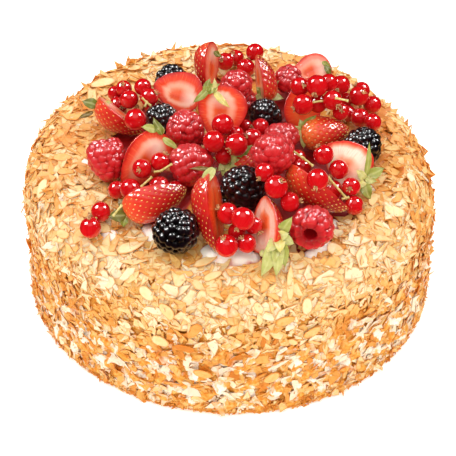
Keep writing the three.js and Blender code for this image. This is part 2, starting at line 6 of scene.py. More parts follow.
import bpy
import numpy as np
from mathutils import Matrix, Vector


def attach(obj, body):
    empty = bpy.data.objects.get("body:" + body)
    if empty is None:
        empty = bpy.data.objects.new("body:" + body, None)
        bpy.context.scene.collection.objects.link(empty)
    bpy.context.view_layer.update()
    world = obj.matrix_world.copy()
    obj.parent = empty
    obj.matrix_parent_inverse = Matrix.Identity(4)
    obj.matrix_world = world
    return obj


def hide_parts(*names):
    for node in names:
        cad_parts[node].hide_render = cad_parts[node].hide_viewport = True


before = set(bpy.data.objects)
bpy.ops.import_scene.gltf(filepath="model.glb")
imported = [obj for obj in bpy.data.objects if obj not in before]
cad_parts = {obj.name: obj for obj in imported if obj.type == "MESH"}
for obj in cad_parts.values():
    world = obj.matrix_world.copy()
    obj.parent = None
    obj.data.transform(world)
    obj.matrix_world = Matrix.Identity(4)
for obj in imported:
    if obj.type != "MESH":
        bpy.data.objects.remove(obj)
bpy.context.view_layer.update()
mm = 0.001
goldenAngle = math.pi * (3 - math.sqrt(5))
print("frame loaded:", len(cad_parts), "nodes")

# The camera's place: its elevation, its distance from a point on the cake's axis, and where in
# the picture it sees that point.
camera = {
    "elevation": 41.5,
    "distance": 700,
    "aimHeight": 39,
    "focalPixels": 1410,
    "picturePixels": 456,
    "centrePixel": (229, 206),
    "sensor": 36,
}
tilt = math.radians(camera["elevation"])
pictureRight = np.array([1.0, 0.0, 0.0])
pictureUp = np.array([0.0, math.sin(tilt), math.cos(tilt)])
pictureTowards = np.array([0.0, -math.cos(tilt), math.sin(tilt)])
eye = np.array([0.0, 0.0, camera["aimHeight"]]) + camera["distance"] * pictureTowards


# The line of sight of a picture pixel: how it runs for each millimetre of depth.
def sightRay(pixel):
    right = (pixel[0] - camera["centrePixel"][0]) / camera["focalPixels"]
    down = (pixel[1] - camera["centrePixel"][1]) / camera["focalPixels"]
    return right * pictureRight - down * pictureUp - pictureTowards


# The point on a pixel's line of sight that is as deep as a given point, or some millimetres nearer.
def sightPoint(pixel, near, nearer=0):
    return eye + sightRay(pixel) * ((eye - near) @ pictureTowards - nearer)


# Where a pixel's line of sight meets a level plane.
def levelPoint(pixel, height):
    ray = sightRay(pixel)
    return eye + ray * (height - eye[2]) / ray[2]


# The camera looks along the line of sight of the picture's middle, so it needs no shift.
def makeCamera():
    half = camera["picturePixels"] / 2
    data = bpy.data.cameras.new("camera")
    data.sensor_width = camera["sensor"]
    data.lens = camera["focalPixels"] / camera["picturePixels"] * camera["sensor"]
    data.clip_start = 0.05
    item = bpy.data.objects.new("camera", data)
    item.location = Vector(eye * mm)
    item.rotation_euler = Vector(sightRay((half, half))).to_track_quat("-Z", "Y").to_euler()
    bpy.context.collection.objects.link(item)
    bpy.context.scene.camera = item


# Turns an sRGB hex colour into the linear colour that the shaders take.
def linearColour(text):
    channels = np.array([int(text[i:i + 2], 16) for i in (1, 3, 5)]) / 255
    linear = np.where(channels <= 0.04045, channels / 12.92, ((channels + 0.055) / 1.055) ** 2.4)
    return (*[float(value) for value in linear], 1.0)


# Adds one shader node and gives its outputs. An input takes a value, a hex colour or the output of
# another node. Stops are a colour ramp's, and the other settings go on the node itself.
def addNode(material, kind, inputs=None, stops=(), **settings):
    node = material.node_tree.nodes.new("ShaderNode" + kind)
    for key, value in settings.items():
        setattr(node, key, value)
    for i, (position, colour) in enumerate(stops):
        elements = node.color_ramp.elements
        element = elements[i] if i < 2 else elements.new(position)
        element.position = position
        element.color = linearColour(colour) if isinstance(colour, str) else (colour, colour, colour, 1)
    for key, value in (inputs or {}).items():
        if isinstance(value, bpy.types.NodeSocket):
            material.node_tree.links.new(value, node.inputs[key])
        else:
            node.inputs[key].default_value = linearColour(value) if isinstance(value, str) else value
    return node.outputs


# A new material with no nodes yet.
def bareMaterial(name):
    material = bpy.data.materials.new(name)
    material.use_nodes = True
    material.node_tree.nodes.clear()
    return material


# Puts a shader on a material's surface.
def finishMaterial(material, shader):
    addNode(material, "OutputMaterial", {"Surface": shader[0]})
    return material


# The scale of a noise pattern that has some patches in each 10 mm.
def patchScale(inTen):
    return inTen / (10 * mm)


# Makes a mesh from whole arrays: corners in millimetres, faces as arrays of corner numbers with
# three or four columns, and named values for each corner.
def meshPiece(name, corners, faces, materials, values=None, faceMaterials=None, smooth=True):
    mesh = bpy.data.meshes.new(name)
    loops = np.concatenate([group.ravel() for group in faces]).astype(np.int32)
    sides = np.concatenate([np.full(len(group), group.shape[1]) for group in faces])
    starts = np.concatenate([[0], np.cumsum(sides)[:-1]]).astype(np.int32)
    mesh.vertices.add(len(corners))
    mesh.vertices.foreach_set("co", (corners * mm).astype(np.float32).ravel())
    mesh.loops.add(len(loops))
    mesh.loops.foreach_set("vertex_index", loops)
    mesh.polygons.add(len(sides))
    mesh.polygons.foreach_set("loop_start", starts)
    for material in materials:
        mesh.materials.append(material)
    if faceMaterials is not None:
        mesh.polygons.foreach_set("material_index", np.concatenate(faceMaterials).astype(np.int32))
    mesh.polygons.foreach_set("use_smooth", np.full(len(sides), smooth))
    mesh.update(calc_edges=True)
    for key, array in (values or {}).items():
        kind, field = ("FLOAT", "value") if array.ndim == 1 else ("FLOAT_VECTOR", "vector")
        attribute = mesh.attributes.new(key, kind, "POINT")
        attribute.data.foreach_set(field, array.astype(np.float32).ravel())
    item = bpy.data.objects.new(name, mesh)
    bpy.context.collection.objects.link(item)
    return item


# Fixes a finished piece to the cake's one body, and perhaps in the place of a CAD node.
def fitPiece(item, node=None):
    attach(item, "root")
    if node:
        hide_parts(node)


# Numbers the faces of a surface of rows of corners that close round, with a pole before the first
# row and one after the last. The poles are the last two corners.
def wrappedFaces(rows, columns):
    row, column = np.meshgrid(np.arange(rows - 1), np.arange(columns), indexing="ij")
    after = (column + 1) % columns
    quads = np.stack([row * columns + column, row * columns + after,
                      (row + 1) * columns + after, (row + 1) * columns + column], -1).reshape(-1, 4)
    around = np.arange(columns)
    beyond = (around + 1) % columns
    lastRow = (rows - 1) * columns
    first = np.full(columns, rows * columns)
    low = np.stack([first, beyond, around], -1)
    high = np.stack([first + 1, lastRow + around, lastRow + beyond], -1)
    return [quads, low, high]


# Turns all faces over where they face in, which shows in a volume below zero.
def facingOut(corners, faces):
    volume = 0.0
    for group in faces:
        for k in range(1, group.shape[1] - 1):
            a, b, c = (corners[group[:, j]] for j in (0, k, k + 1))
            volume += np.einsum("ij,ij->", a, np.cross(b, c))
    return faces if volume > 0 else [group[:, ::-1] for group in faces]


# Joins several (corners, faces, values) shapes to one, and keeps count of which shape a face is of.
def joinShapes(shapes):
    start = 0
    corners, faces, owners, values = [], [], [], []
    for i, (points, groups, extra) in enumerate(shapes):
        for group in groups:
            faces.append(group + start)
            owners.append(np.full(len(group), i))
        corners.append(points)
        values.append(extra)
        start += len(points)
    together = {key: np.concatenate([extra[key] for extra in values]) for key in values[0]}
    return np.concatenate(corners), faces, owners, together


# Repeats the faces of one shape for many copies of it, whose corners follow one another.
def copiedFaces(faces, copies, each):
    shift = (np.arange(copies) * each)[:, None, None]
    return [(group[None] + shift).reshape(-1, group.shape[1]) for group in faces]


# Vectors with their length made one.
def unit(vectors):
    return vectors / (np.linalg.norm(vectors, axis=-1, keepdims=True) + 1e-9)


# Even turns, once round a circle.
def ringTurns(count):
    return np.arange(count) / count * 2 * math.pi


# Even angles from one pole to the other, without the poles.
def poleAngles(count):
    return (np.arange(count) + 1) / (count + 1) * math.pi


# A path from one point to another that bows towards a middle one: a quadratic curve.
def bowedPath(share, first, middle, last):
    t = share[:, None]
    return (1 - t) ** 2 * first + 2 * t * (1 - t) * middle + t ** 2 * last


# Points of a circle of radius one round a direction, at some turns.
def circleRound(direction, turn):
    side = unit(np.cross(direction, [0.3, 0.5, 0.8]))
    turn = np.asarray(turn)[..., None]
    return side * np.cos(turn) + np.cross(direction, side) * np.sin(turn)


# A small closed ball of a few faces, stretched to three half lengths.
def smallBall(rows, columns, halves):
    angles, turns = np.meshgrid(poleAngles(rows), ringTurns(columns), indexing="ij")
    grid = np.stack([-np.cos(angles), np.sin(angles) * np.cos(turns), np.sin(angles) * np.sin(turns)], -1)
    corners = np.concatenate([grid.reshape(-1, 3), [[-1, 0, 0], [1, 0, 0]]]) * np.array(halves)
    return corners, facingOut(corners, wrappedFaces(rows, columns))


# A turn from a fruit's own axes to the cake's: a roll about its length, a lean towards the viewer
# and a turn in the picture plane.
def turnOf(points=0, leans=0, roll=0):
    pointing, leaning, rolling = np.radians([points, leans, roll])
    picture = np.stack([pictureRight, pictureUp, pictureTowards], 1)
    inPlane = np.array([[math.cos(pointing), -math.sin(pointing), 0],
                        [math.sin(pointing), math.cos(pointing), 0], [0, 0, 1]])
    forward = np.array([[math.cos(leaning), 0, -math.sin(leaning)], [0, 1, 0],
                        [math.sin(leaning), 0, math.cos(leaning)]])
    about = np.array([[1, 0, 0], [0, math.cos(rolling), -math.sin(rolling)],
                      [0, math.sin(rolling), math.cos(rolling)]])
    return picture @ inPlane @ forward @ about


# The corners of a mesh, in millimetres.
def cornersOf(mesh):
    corners = np.empty(len(mesh.vertices) * 3, np.float32)
    mesh.vertices.foreach_get("co", corners)
    return corners.reshape(-1, 3).astype(float) / mm


# Where a fruit's own origin is: its node's farthest corner along a direction is a point that is
# known in the fruit's own axes.
def placeOf(name, turn, known, direction):
    corners = cornersOf(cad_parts[name].data)
    farthest = corners[np.argmax(corners @ (turn @ direction))]
    return farthest - turn @ known


fruitPoints = []  # some corners of all fruit, to keep flakes clear of it
fruitMiddles = []
cornersSkipped = 17


# Puts a finished fruit in the scene in the place of its node.
def fruitPiece(item, node):
    fitPiece(item, node)
    corners = cornersOf(item.data)
    fruitPoints.append(corners[::cornersSkipped])
    fruitMiddles.append(corners.mean(0))


cake = {
    "radius": 98.5,
    "height": 76.5,
    "shoulder": 20,
    "footFlare": 3.2,
    "bulge": 1.8,  # how far the wall stands out
    "bulgeTurn": -0.8,  # at the front right
    "unevenness": 0.9,
    "bedRadius": 68,
    "bedRise": 4,
    "sunk": 1.5,  # how far the cream lies inside the coat's outer face
    "dent": 3.2,  # how much the shoulder is pressed in
    "dentTurn": 0.7,  # at the back right
    "dentHeight": 68,
}
flatEdge = cake["radius"] - cake["shoulder"]
shoulderRun = cake["shoulder"] * math.pi / 2
wallRun = cake["height"] - cake["shoulder"]
fullRun = flatEdge + shoulderRun + wallRun


# The cream's skin at a run from the middle of the top, over the edge and down the wall, at an
# angle round the cake: a dome, a quarter circle and an upright line that flares at its foot,
# pushed in and out by slow waves. Gives points and outward normals.
def creamSkin(run, angle):
    turned = np.clip((run - flatEdge) / shoulderRun, 0, 1) * math.pi / 2
    below = np.maximum(0, run - flatEdge - shoulderRun)
    bulge = cake["bulge"] * np.clip(np.cos(angle - cake["bulgeTurn"]), 0, 1) ** 4 * np.minimum(1, below / 25)
    flat = np.minimum(run, flatEdge)
    radius = flat + cake["shoulder"] * np.sin(turned) + cake["footFlare"] * (below / wallRun) ** 1.5 + bulge
    dome = cake["bedRise"] * np.maximum(0, 1 - (flat / cake["bedRadius"]) ** 2) ** 1.5
    height = cake["height"] + dome - cake["shoulder"] * (1 - np.cos(turned)) - below
    wander = cake["unevenness"] * (0.5 * np.sin(3 * angle + height / 19)
                                   + 0.3 * np.sin(7 * angle - height / 11 + 1)
                                   + 0.2 * np.sin(13 * angle + height / 6 + 2))
    wander = wander * np.clip(height / 6, 0, 1)
    outward = np.stack([np.cos(angle), np.sin(angle), np.zeros_like(angle)], -1)
    normals = outward * np.sin(turned)[..., None]
    normals[..., 2] = np.cos(turned)
    points = outward * (radius + wander)[..., None]
    points[..., 2] = height + wander / 2
    pressed = cake["dent"] * np.exp(-((height - cake["dentHeight"]) / 12) ** 2)
    pressed *= np.clip(np.cos(angle - cake["dentTurn"]), 0, 1) ** 2 * np.clip((run - 60) / 15, 0, 1)
    return points - (cake["sunk"] + pressed)[..., None] * normals, normals


# Uneven patches over the skin, about -2 to 2: many waves of random length and heading added up,
# each with a whole number of turns round the cake.
def waveField(run, angle, seed, shortest, longest, waves=28):
    random = np.random.default_rng(seed)
    length = random.uniform(shortest, longest, waves)
    heading = random.random(waves) * 2 * math.pi
    phase = random.random(waves) * 2 * math.pi
    turns = np.round(2 * math.pi * cake["radius"] / length * np.cos(heading))
    rises = 2 * math.pi / length * np.sin(heading)
    total = np.zeros_like(angle)
    for k in range(waves):
        total += np.cos(turns[k] * angle + rises[k] * run + phase[k])
    return total / math.sqrt(waves / 2)


coat = {
    "lowBelow": 50,  # the height under which the lower wall starts
    "lowFade": 24,
    "patchWaves": (6, 17),  # the shortest and longest waves of its bare patches
    "patchShare": 0.24,
    "patchGain": 0.64,
    "sidePatches": 0.12,  # how bare the lower wall is away from the front
    "speckWaves": (6, 16),
    "speckFrom": 1.7,
}


# How strongly a height counts as the lower wall, from 0 to 1.
def lowShare(height):
    return np.clip((coat["lowBelow"] - height) / coat["lowFade"], 0, 1)


# How strongly an angle counts as the front, from 0 to 1.
def frontShare(angle):
    return np.clip(0.55 - 0.75 * np.sin(angle + 0.05), 0, 1)


# How bare of flakes the coat is: patches of cream in the lower front, a few specks elsewhere.
def bareness(run, angle, height):
    low = lowShare(height) * np.clip((height - 3) / 5, 0, 1)
    low = low * (coat["sidePatches"] + (1 - coat["sidePatches"]) * frontShare(angle))
    patch = coat["patchShare"] + coat["patchGain"] * waveField(run, angle, 5, *coat["patchWaves"])
    speck = waveField(run, angle, 6, *coat["speckWaves"]) - coat["speckFrom"]
    return np.maximum(low * np.clip(patch, 0, 1), np.clip(speck / 0.25, 0, 1))


# Strawberries
# Each one's length and width, the heading of its tip in the picture, its lean towards the viewer
# and its roll, in degrees. Then how pale the flesh is, how plain its ring is, how far the core
# lies off the middle, and how much riper the skin is than usual.
strawberries = {
    "strawberry_back_right": {"size": (21, 18), "points": 200, "roll": 15, "pale": 0.25, "ring": 0.3},
    "strawberry_back_left": {"size": (26, 18), "points": -95, "leans": 5, "roll": -68, "pale": 0.15,
                             "ring": 0.1},
    "strawberry_top_right": {"size": (25, 18), "points": 96, "leans": 10, "roll": -80, "pale": 0.3,
                             "ring": 0.1},
    "strawberry_left_top": {"size": (24, 20), "points": 165, "roll": 5, "ring": 0.7, "core": 3},
    "strawberry_left": {"size": (27, 21), "points": -38, "roll": -82, "pale": 0.25, "ring": 0.2},
    "strawberry_mid_left": {"size": (31, 20.5), "points": -128, "roll": -25, "pale": 0.04, "ring": 0.5},
    "strawberry_right_flank": {"size": (25, 18), "points": 80, "roll": 10, "ripe": 0.35},
    "strawberry_top": {"size": (26, 23), "points": -97, "roll": 5, "ring": 0.6, "core": -1},
    "strawberry_right_whole": {"size": (24, 16.5), "points": 7, "whole": True, "ripe": -0.3},
    "strawberry_centre": {"size": (20, 13), "points": 10, "whole": True},
    "strawberry_right_pale": {"size": (24, 21), "points": 142, "pale": 1.0, "ring": 0.5, "core": 4.5},
    "strawberry_right_wedge": {"size": (33, 23), "points": -37, "roll": -95, "pale": 0.1, "ring": 0.3},
    "strawberry_left_low": {"size": (30, 20), "points": 18, "roll": -128, "pale": 0.2, "ring": 0.4},
    "strawberry_front": {"size": (36, 21), "points": -84, "leans": 5, "roll": -72, "ripe": 0.24},
    "strawberry_front_right": {"size": (26, 19), "points": 88, "leans": -10, "roll": -52, "pale": 0.6,
                               "ring": 0.1},
}
# Sepals as the picture shows them: the pixels of foot and tip, the width, how many millimetres
# nearer to the viewer the middle and the tip are than the stem end, and the green from pale (0)
# over fresh (1) to dried (2).
sepals = {
    "strawberry_back_right": [
        ((325, 66), (331, 76), 2.6, 2, 1, 1.0), ((322, 62), (330, 68), 2.2, 1, 0, 0.6)],
    "strawberry_back_left": [((214, 52), (221, 57), 2.4, 1, 1, 1.0)],
    "strawberry_top_right": [
        ((262, 94), (283, 98), 4.6, 4, 2, 0.2), ((262, 94), (279, 80), 3.2, 4, 3, 1.7),
        ((263, 93), (272, 76), 2.8, 3, 2, 1.8), ((262, 95), (253, 104), 3.4, 4, 3, 0.2),
        ((263, 95), (271, 104), 3.2, 5, 5, 0.1), ((262, 94), (256, 88), 2.6, 3, 3, 0.5)],
    "strawberry_left": [((98, 106), (83, 101), 4.6, 2, 1, 1.0), ((93, 112), (79, 119), 2.0, 1, 0, 1.5),
                        ((98, 105), (112, 103), 2.6, 2, 1, 0.0)],
    "strawberry_mid_left": [
        ((162, 135), (154, 118), 3.0, 3, 2, 0.9), ((157, 130), (142, 127), 3.4, 3, 3, 0.4),
        ((163, 138), (178, 150), 2.6, 3, 1, 0.5), ((162, 134), (160, 124), 2.6, 2, 2, 0.2)],
    "strawberry_top": [((208, 90), (194, 103), 3.0, 4, 3, 0.7), ((205, 94), (210, 79), 3.2, 3, 3, 0.7),
                       ((206, 93), (219, 84), 3.6, 3, 2, 0.6), ((214, 92), (229, 108), 2.8, 5, 4, 0.0),
                       ((214, 94), (215, 79), 2.2, 3, 3, 0.0)],
    "strawberry_right_whole": [
        ((302, 131), (315, 115), 4.2, 4, 4, 0.7), ((303, 131), (287, 128), 3.0, 3, 2, 0.2),
        ((304, 132), (304, 148), 3.6, 4, 2, 0.2), ((304, 131), (312, 143), 3.0, 5, 4, 0.4),
        ((303, 131), (297, 138), 3.0, 4, 3, 0.1), ((303, 130), (299, 120), 2.6, 3, 2, 0.4)],
    "strawberry_centre": [
        ((228, 163), (252, 146), 4.6, 5, 4, 0.8), ((228, 163), (214, 157), 3.4, 4, 4, 0.1),
        ((230, 163), (244, 165), 4.6, 5, 4, 0.1), ((228, 163), (222, 176), 4.2, 5, 4, 0.3),
        ((229, 163), (237, 155), 3.8, 5, 5, 0.0), ((227, 164), (218, 170), 3.6, 5, 5, 0.2)],
    "strawberry_right_pale": [
        ((366, 176), (370, 143), 2.2, 4, 5, 0.5), ((366, 176), (384, 169), 4.8, 2, 1, 0.6),
        ((363, 182), (370, 199), 4.8, 2, 1, 0.6), ((364, 179), (357, 170), 3.4, 4, 3, 0.1),
        ((364, 181), (358, 188), 3.2, 3, 2, 0.1), ((365, 178), (376, 182), 3.0, 2, 1, 0.3)],
    "strawberry_right_wedge": [((282, 168), (289, 166), 2.6, 2, 2, 0.9)],
    "strawberry_left_low": [
        ((127, 212), (119, 199), 4.0, 2, 1, 1.4), ((126, 215), (109, 217), 5.2, 2, 1, 1.2),
        ((125, 217), (124, 227), 3.0, 2, 1, 0.8)],
    "strawberry_front": [((214, 168), (201, 186), 4.2, 4, 4, 0.3), ((213, 170), (190, 168), 1.6, 2, 2, 1.6)],
    "strawberry_front_right": [
        ((277, 238), (262, 276), 6.2, 6, 3, 0.3), ((278, 239), (277, 276), 5.0, 7, 3, 0.3),
        ((279, 239), (286, 266), 5.0, 6, 2, 0.4), ((279, 237), (294, 243), 4.4, 5, 3, 0.2),
        ((279, 236), (291, 217), 4.8, 6, 6, 0.5), ((277, 238), (266, 252), 4.4, 6, 5, 0.1),
        ((278, 237), (288, 233), 4.2, 6, 6, 0.1), ((278, 238), (281, 252), 4.4, 8, 7, 0.0)],
}
strawberry = {
    "taper": 0.32,
    "rows": 72,
    "around": 66,  # corners round the skin of a half
    "across": 34,  # corners across its cut face
    "seedSpacing": 2.35,
    "seedSize": (0.52, 0.26, 0.18),  # half its length, width and thickness
    "seedGap": 0.1,  # how far seeds keep from the cut, in radians
    "dimple": (0.95, 0.5),  # width and depth
    "furrow": (1.5, 0.5),  # width and depth
    "coreEnds": (-0.26, 0.06),  # where the core starts and ends, as shares of the length
    # patterns, as patches in each 10 mm
    "blotches": 1.6,  # riper and paler skin
    "glazeRuns": 3,  # waves of the glaze
    "seedShades": 2.6,  # wider than a seed, so that each has its own shade
    "leafPatches": 3.3,
    "leafThickness": 0.3,
    "leafRise": 1.5,  # how far above the stem end the sepals start
    "fullCalyx": 6,  # a ring of as many sepals shows the stem's end in its middle
}


# How far out the skin is at a turn from the stem end, as a share of the widest.
def strawberryGirth(angle):
    taper = strawberry["taper"]
    return np.sin(angle) * (1 + taper * np.cos(angle)) / (1 + taper * taper / 2)


# The skin of a strawberry: half an ellipse's length, swollen near the stem, with slow lumps.
def strawberrySkin(angle, turn, size, lift, seed):
    long, wide = size
    lumps = 1 + 0.018 * np.sin(3 * turn + seed) * np.sin(angle) + 0.014 * np.sin(5 * angle + 2 * turn + seed)
    reach = wide / 2 * strawberryGirth(angle) * lumps
    return np.stack([-long / 2 * np.cos(angle), reach * np.cos(turn), reach * np.sin(turn) + lift], -1)


# The places of the seeds: a spiral whose turns are even in area, kept to the skin that is there.
def seedPlaces(size, isWhole):
    long, wide = size
    count = int(0.86 * math.pi * long * wide / strawberry["seedSpacing"] ** 2)
    step = np.arange(count) + 0.5
    angle = np.arccos(1 - 2 * step / count)
    turn = (step * goldenAngle) % (2 * math.pi) - math.pi
    keep = (angle > 0.28) & (angle < 3.0)
    if not isWhole:
        keep &= (turn < -strawberry["seedGap"]) & (turn > -math.pi + strawberry["seedGap"])
    return angle[keep], turn[keep]


# The three axes on the skin at some places: along it, across it and outward.
def skinAxes(angle, turn, size, lift, seed):
    step = 1e-3
    here = strawberrySkin(angle, turn, size, lift, seed)
    along = unit(strawberrySkin(angle + step, turn, size, lift, seed) - here)
    across = strawberrySkin(angle, turn + step, size, lift, seed) - here
    outward = unit(np.cross(along, across))
    outward *= np.sign(np.einsum("ij,ij->i", outward, here - [0, 0, lift]))[:, None]
    return here, np.stack([along, np.cross(outward, along), outward], 2)


# The cut face of a half, from the last column of its skin back to the first: straight across, a
# little swollen, and sunk to a furrow along its middle.
def cutFace(skin, angle, wide):
    share = np.linspace(-1, 1, strawberry["across"] + 2)[None, 1:-1]
    mix = (share[..., None] + 1) / 2
    face = skin[:, -1, None] * (1 - mix) + skin[:, 0, None] * mix
    halfWidth = wide / 2 * strawberryGirth(angle)[:, None]
    endways = np.sin(angle)[:, None]
    width, depth = strawberry["furrow"]
    furrow = np.exp(-(share * halfWidth / width) ** 2) * np.clip(1.25 * endways - 0.55, 0, 1)
    face[..., 2] += 0.35 * (1 - share ** 2) * endways - depth * furrow
    return face


# A strawberry's corners in rows from the stem end to the tip. Each seed presses a round dimple in
# the skin. A half's section is a D: round the skin and back across the cut.
def strawberryShape(size, isWhole, seed):
    long, wide = size
    lift = 0 if isWhole else wide / 4
    around = strawberry["around"] * (2 if isWhole else 1)
    angle = poleAngles(strawberry["rows"])
    angle = angle - 0.12 * np.sin(2 * angle)
    turns = ringTurns(around) if isWhole else -math.pi * np.arange(around) / (around - 1)
    angles, turned = np.meshgrid(angle, turns, indexing="ij")
    flat = strawberrySkin(angles, turned, size, lift, seed).reshape(-1, 3)
    seeds, axes = skinAxes(*seedPlaces(size, isWhole), size, lift, seed)
    dimpleWidth, dimpleDepth = strawberry["dimple"]
    apart = np.linalg.norm(flat[:, None] - seeds[None], axis=2)
    sunk = dimpleDepth * np.exp(-(apart / dimpleWidth) ** 2).sum(1)
    inward = unit((flat - [0, 0, lift]) * [0.5, 1, 1])
    grid = (flat - inward * (sunk - 0.15)[:, None]).reshape(*angles.shape, 3)
    if not isWhole:
        grid = np.concatenate([grid, cutFace(grid, angle, wide)], 1)
    ends = np.array([[-long / 2 + 0.4, 0, lift], [long / 2, 0, lift]])
    isFlesh = np.arange(grid.shape[1]) >= around
    return grid, ends, isFlesh, seeds - axes[:, :, 2] * (0.62 * dimpleDepth), axes


# How far across the cut a point lies, 0 at the core and 1 at the rim: its distance from the core's
# line as a share of its distances from that line and from the outline together. Also the place on
# the core and the heading from it, along which the fibres run.
def cutPlaces(corners, size, core):
    long, wide = size
    angle = np.linspace(0, math.pi, 150)
    half = np.stack([-long / 2 * np.cos(angle), wide / 2 * strawberryGirth(angle)], 1)
    outline = np.concatenate([half, half[::-1] * [1, -1]])
    start, end = strawberry["coreEnds"]
    nearest = np.full((len(corners), 2), float(core))
    nearest[:, 0] = np.clip(corners[:, 0], start * long, end * long)
    away = corners[:, :2] - nearest
    inner = np.linalg.norm(away, axis=1)
    outer = np.linalg.norm(corners[:, None, :2] - outline[None], axis=2).min(1)
    return inner / (inner + outer), unit(away) + nearest * [2 / wide, 0]


# One sepal: a blade along a curve from its foot to its tip, its section a thin lens folded up
# along the midrib and waved at its edge.
def sepalShape(foot, middle, tip, width, tint):
    rows, around = 18, 14
    share = (np.arange(rows) + 0.6) / rows
    spine = bowedPath(share, foot, middle, tip)
    heading = unit(np.gradient(spine, axis=0))
    side = unit(np.cross(heading, pictureTowards))
    face = np.cross(side, heading)
    breadth = width / 2 * np.sin(math.pi * share ** 0.8) ** 0.9 + 0.35 * (1 - share) + 0.05
    section = ringTurns(around)
    across = breadth[:, None] * np.cos(section)
    wave = 0.45 * np.sin(11 * share + 5 * tint + foot[0])[:, None] * (2 * across / width) ** 2
    thick = strawberry["leafThickness"] * np.sin(section) * (1 - 0.5 * share)[:, None]
    lift = 0.35 * np.abs(across) + wave + thick
    spine = spine + side * (0.35 * np.sin(5 * share + foot[0]) * share)[:, None]
    grid = spine[:, None] + side[:, None] * across[..., None] + face[:, None] * lift[..., None]
    poles = np.array([spine[0] - 0.4 * heading[0], spine[-1] + 0.9 * heading[-1]])
    corners = np.concatenate([grid.reshape(-1, 3), poles])
    values = {
        "along": np.concatenate([np.repeat(share, around), [0, 1]]),
        "across": np.concatenate([np.tile(np.cos(section), rows), [0, 0]]),
        "tint": np.full(len(corners), tint),
    }
    return corners, facingOut(corners, wrappedFaces(rows, around)), values


# The green end of the stem that the sepals grow from.
def stemShape(middle, radius):
    corners, faces = smallBall(6, 12, (radius, radius, radius))
    zeros = np.zeros(len(corners))
    return corners + middle, faces, {"along": zeros, "across": zeros, "tint": zeros + 0.1}


# A glaze that has run into small waves over a fruit: the normal of a bump some millimetres high.
def glazeWaves(material, place, runs, detail, strength, high):
    glaze = addNode(material, "TexNoise", {"Vector": place, "Scale": patchScale(runs), "Detail": detail})
    return addNode(material, "Bump", {"Height": glaze["Fac"], "Strength": strength, "Distance": high * mm})[0]


# Strawberry skin: a thin moist skin over wet flesh, so it is bright, a little translucent and
# glazed. It pales towards the stem end, and its glaze has run into small waves.
def strawberrySkinMaterial():
    material = bareMaterial("strawberrySkin")
    place = addNode(material, "TexCoord")["Object"]
    along = addNode(material, "Attribute", attribute_name="along")["Fac"]
    blotch = addNode(material, "TexNoise", {
        "Vector": place, "Scale": patchScale(strawberry["blotches"]), "Detail": 3})["Fac"]
    ripeness = addNode(material, "Math", {0: blotch, 1: 0.35, 2: along}, operation="MULTIPLY_ADD")[0]
    colour = addNode(material, "ValToRGB", {"Fac": ripeness}, [
        (0.1, "#ee7034"), (0.26, "#e04524"), (0.48, "#d02a19"), (0.85, "#be1511"), (1.0, "#a20b0d")])
    under = glazeWaves(material, place, strawberry["glazeRuns"], 2, 0.35, 0.6)
    over = glazeWaves(material, place, strawberry["glazeRuns"], 2, 0.5, 0.6)
    shader = addNode(material, "BsdfPrincipled", {
        "Base Color": colour[0], "Roughness": 0.32, "IOR": 1.42, "Normal": under,
        "Subsurface Weight": 0.2, "Subsurface Radius": (1.0, 0.25, 0.12), "Subsurface Scale": 1.2 * mm,
        "Coat Weight": 1.0, "Coat Roughness": 0.03, "Coat Normal": over})
    return finishMaterial(material, shader)


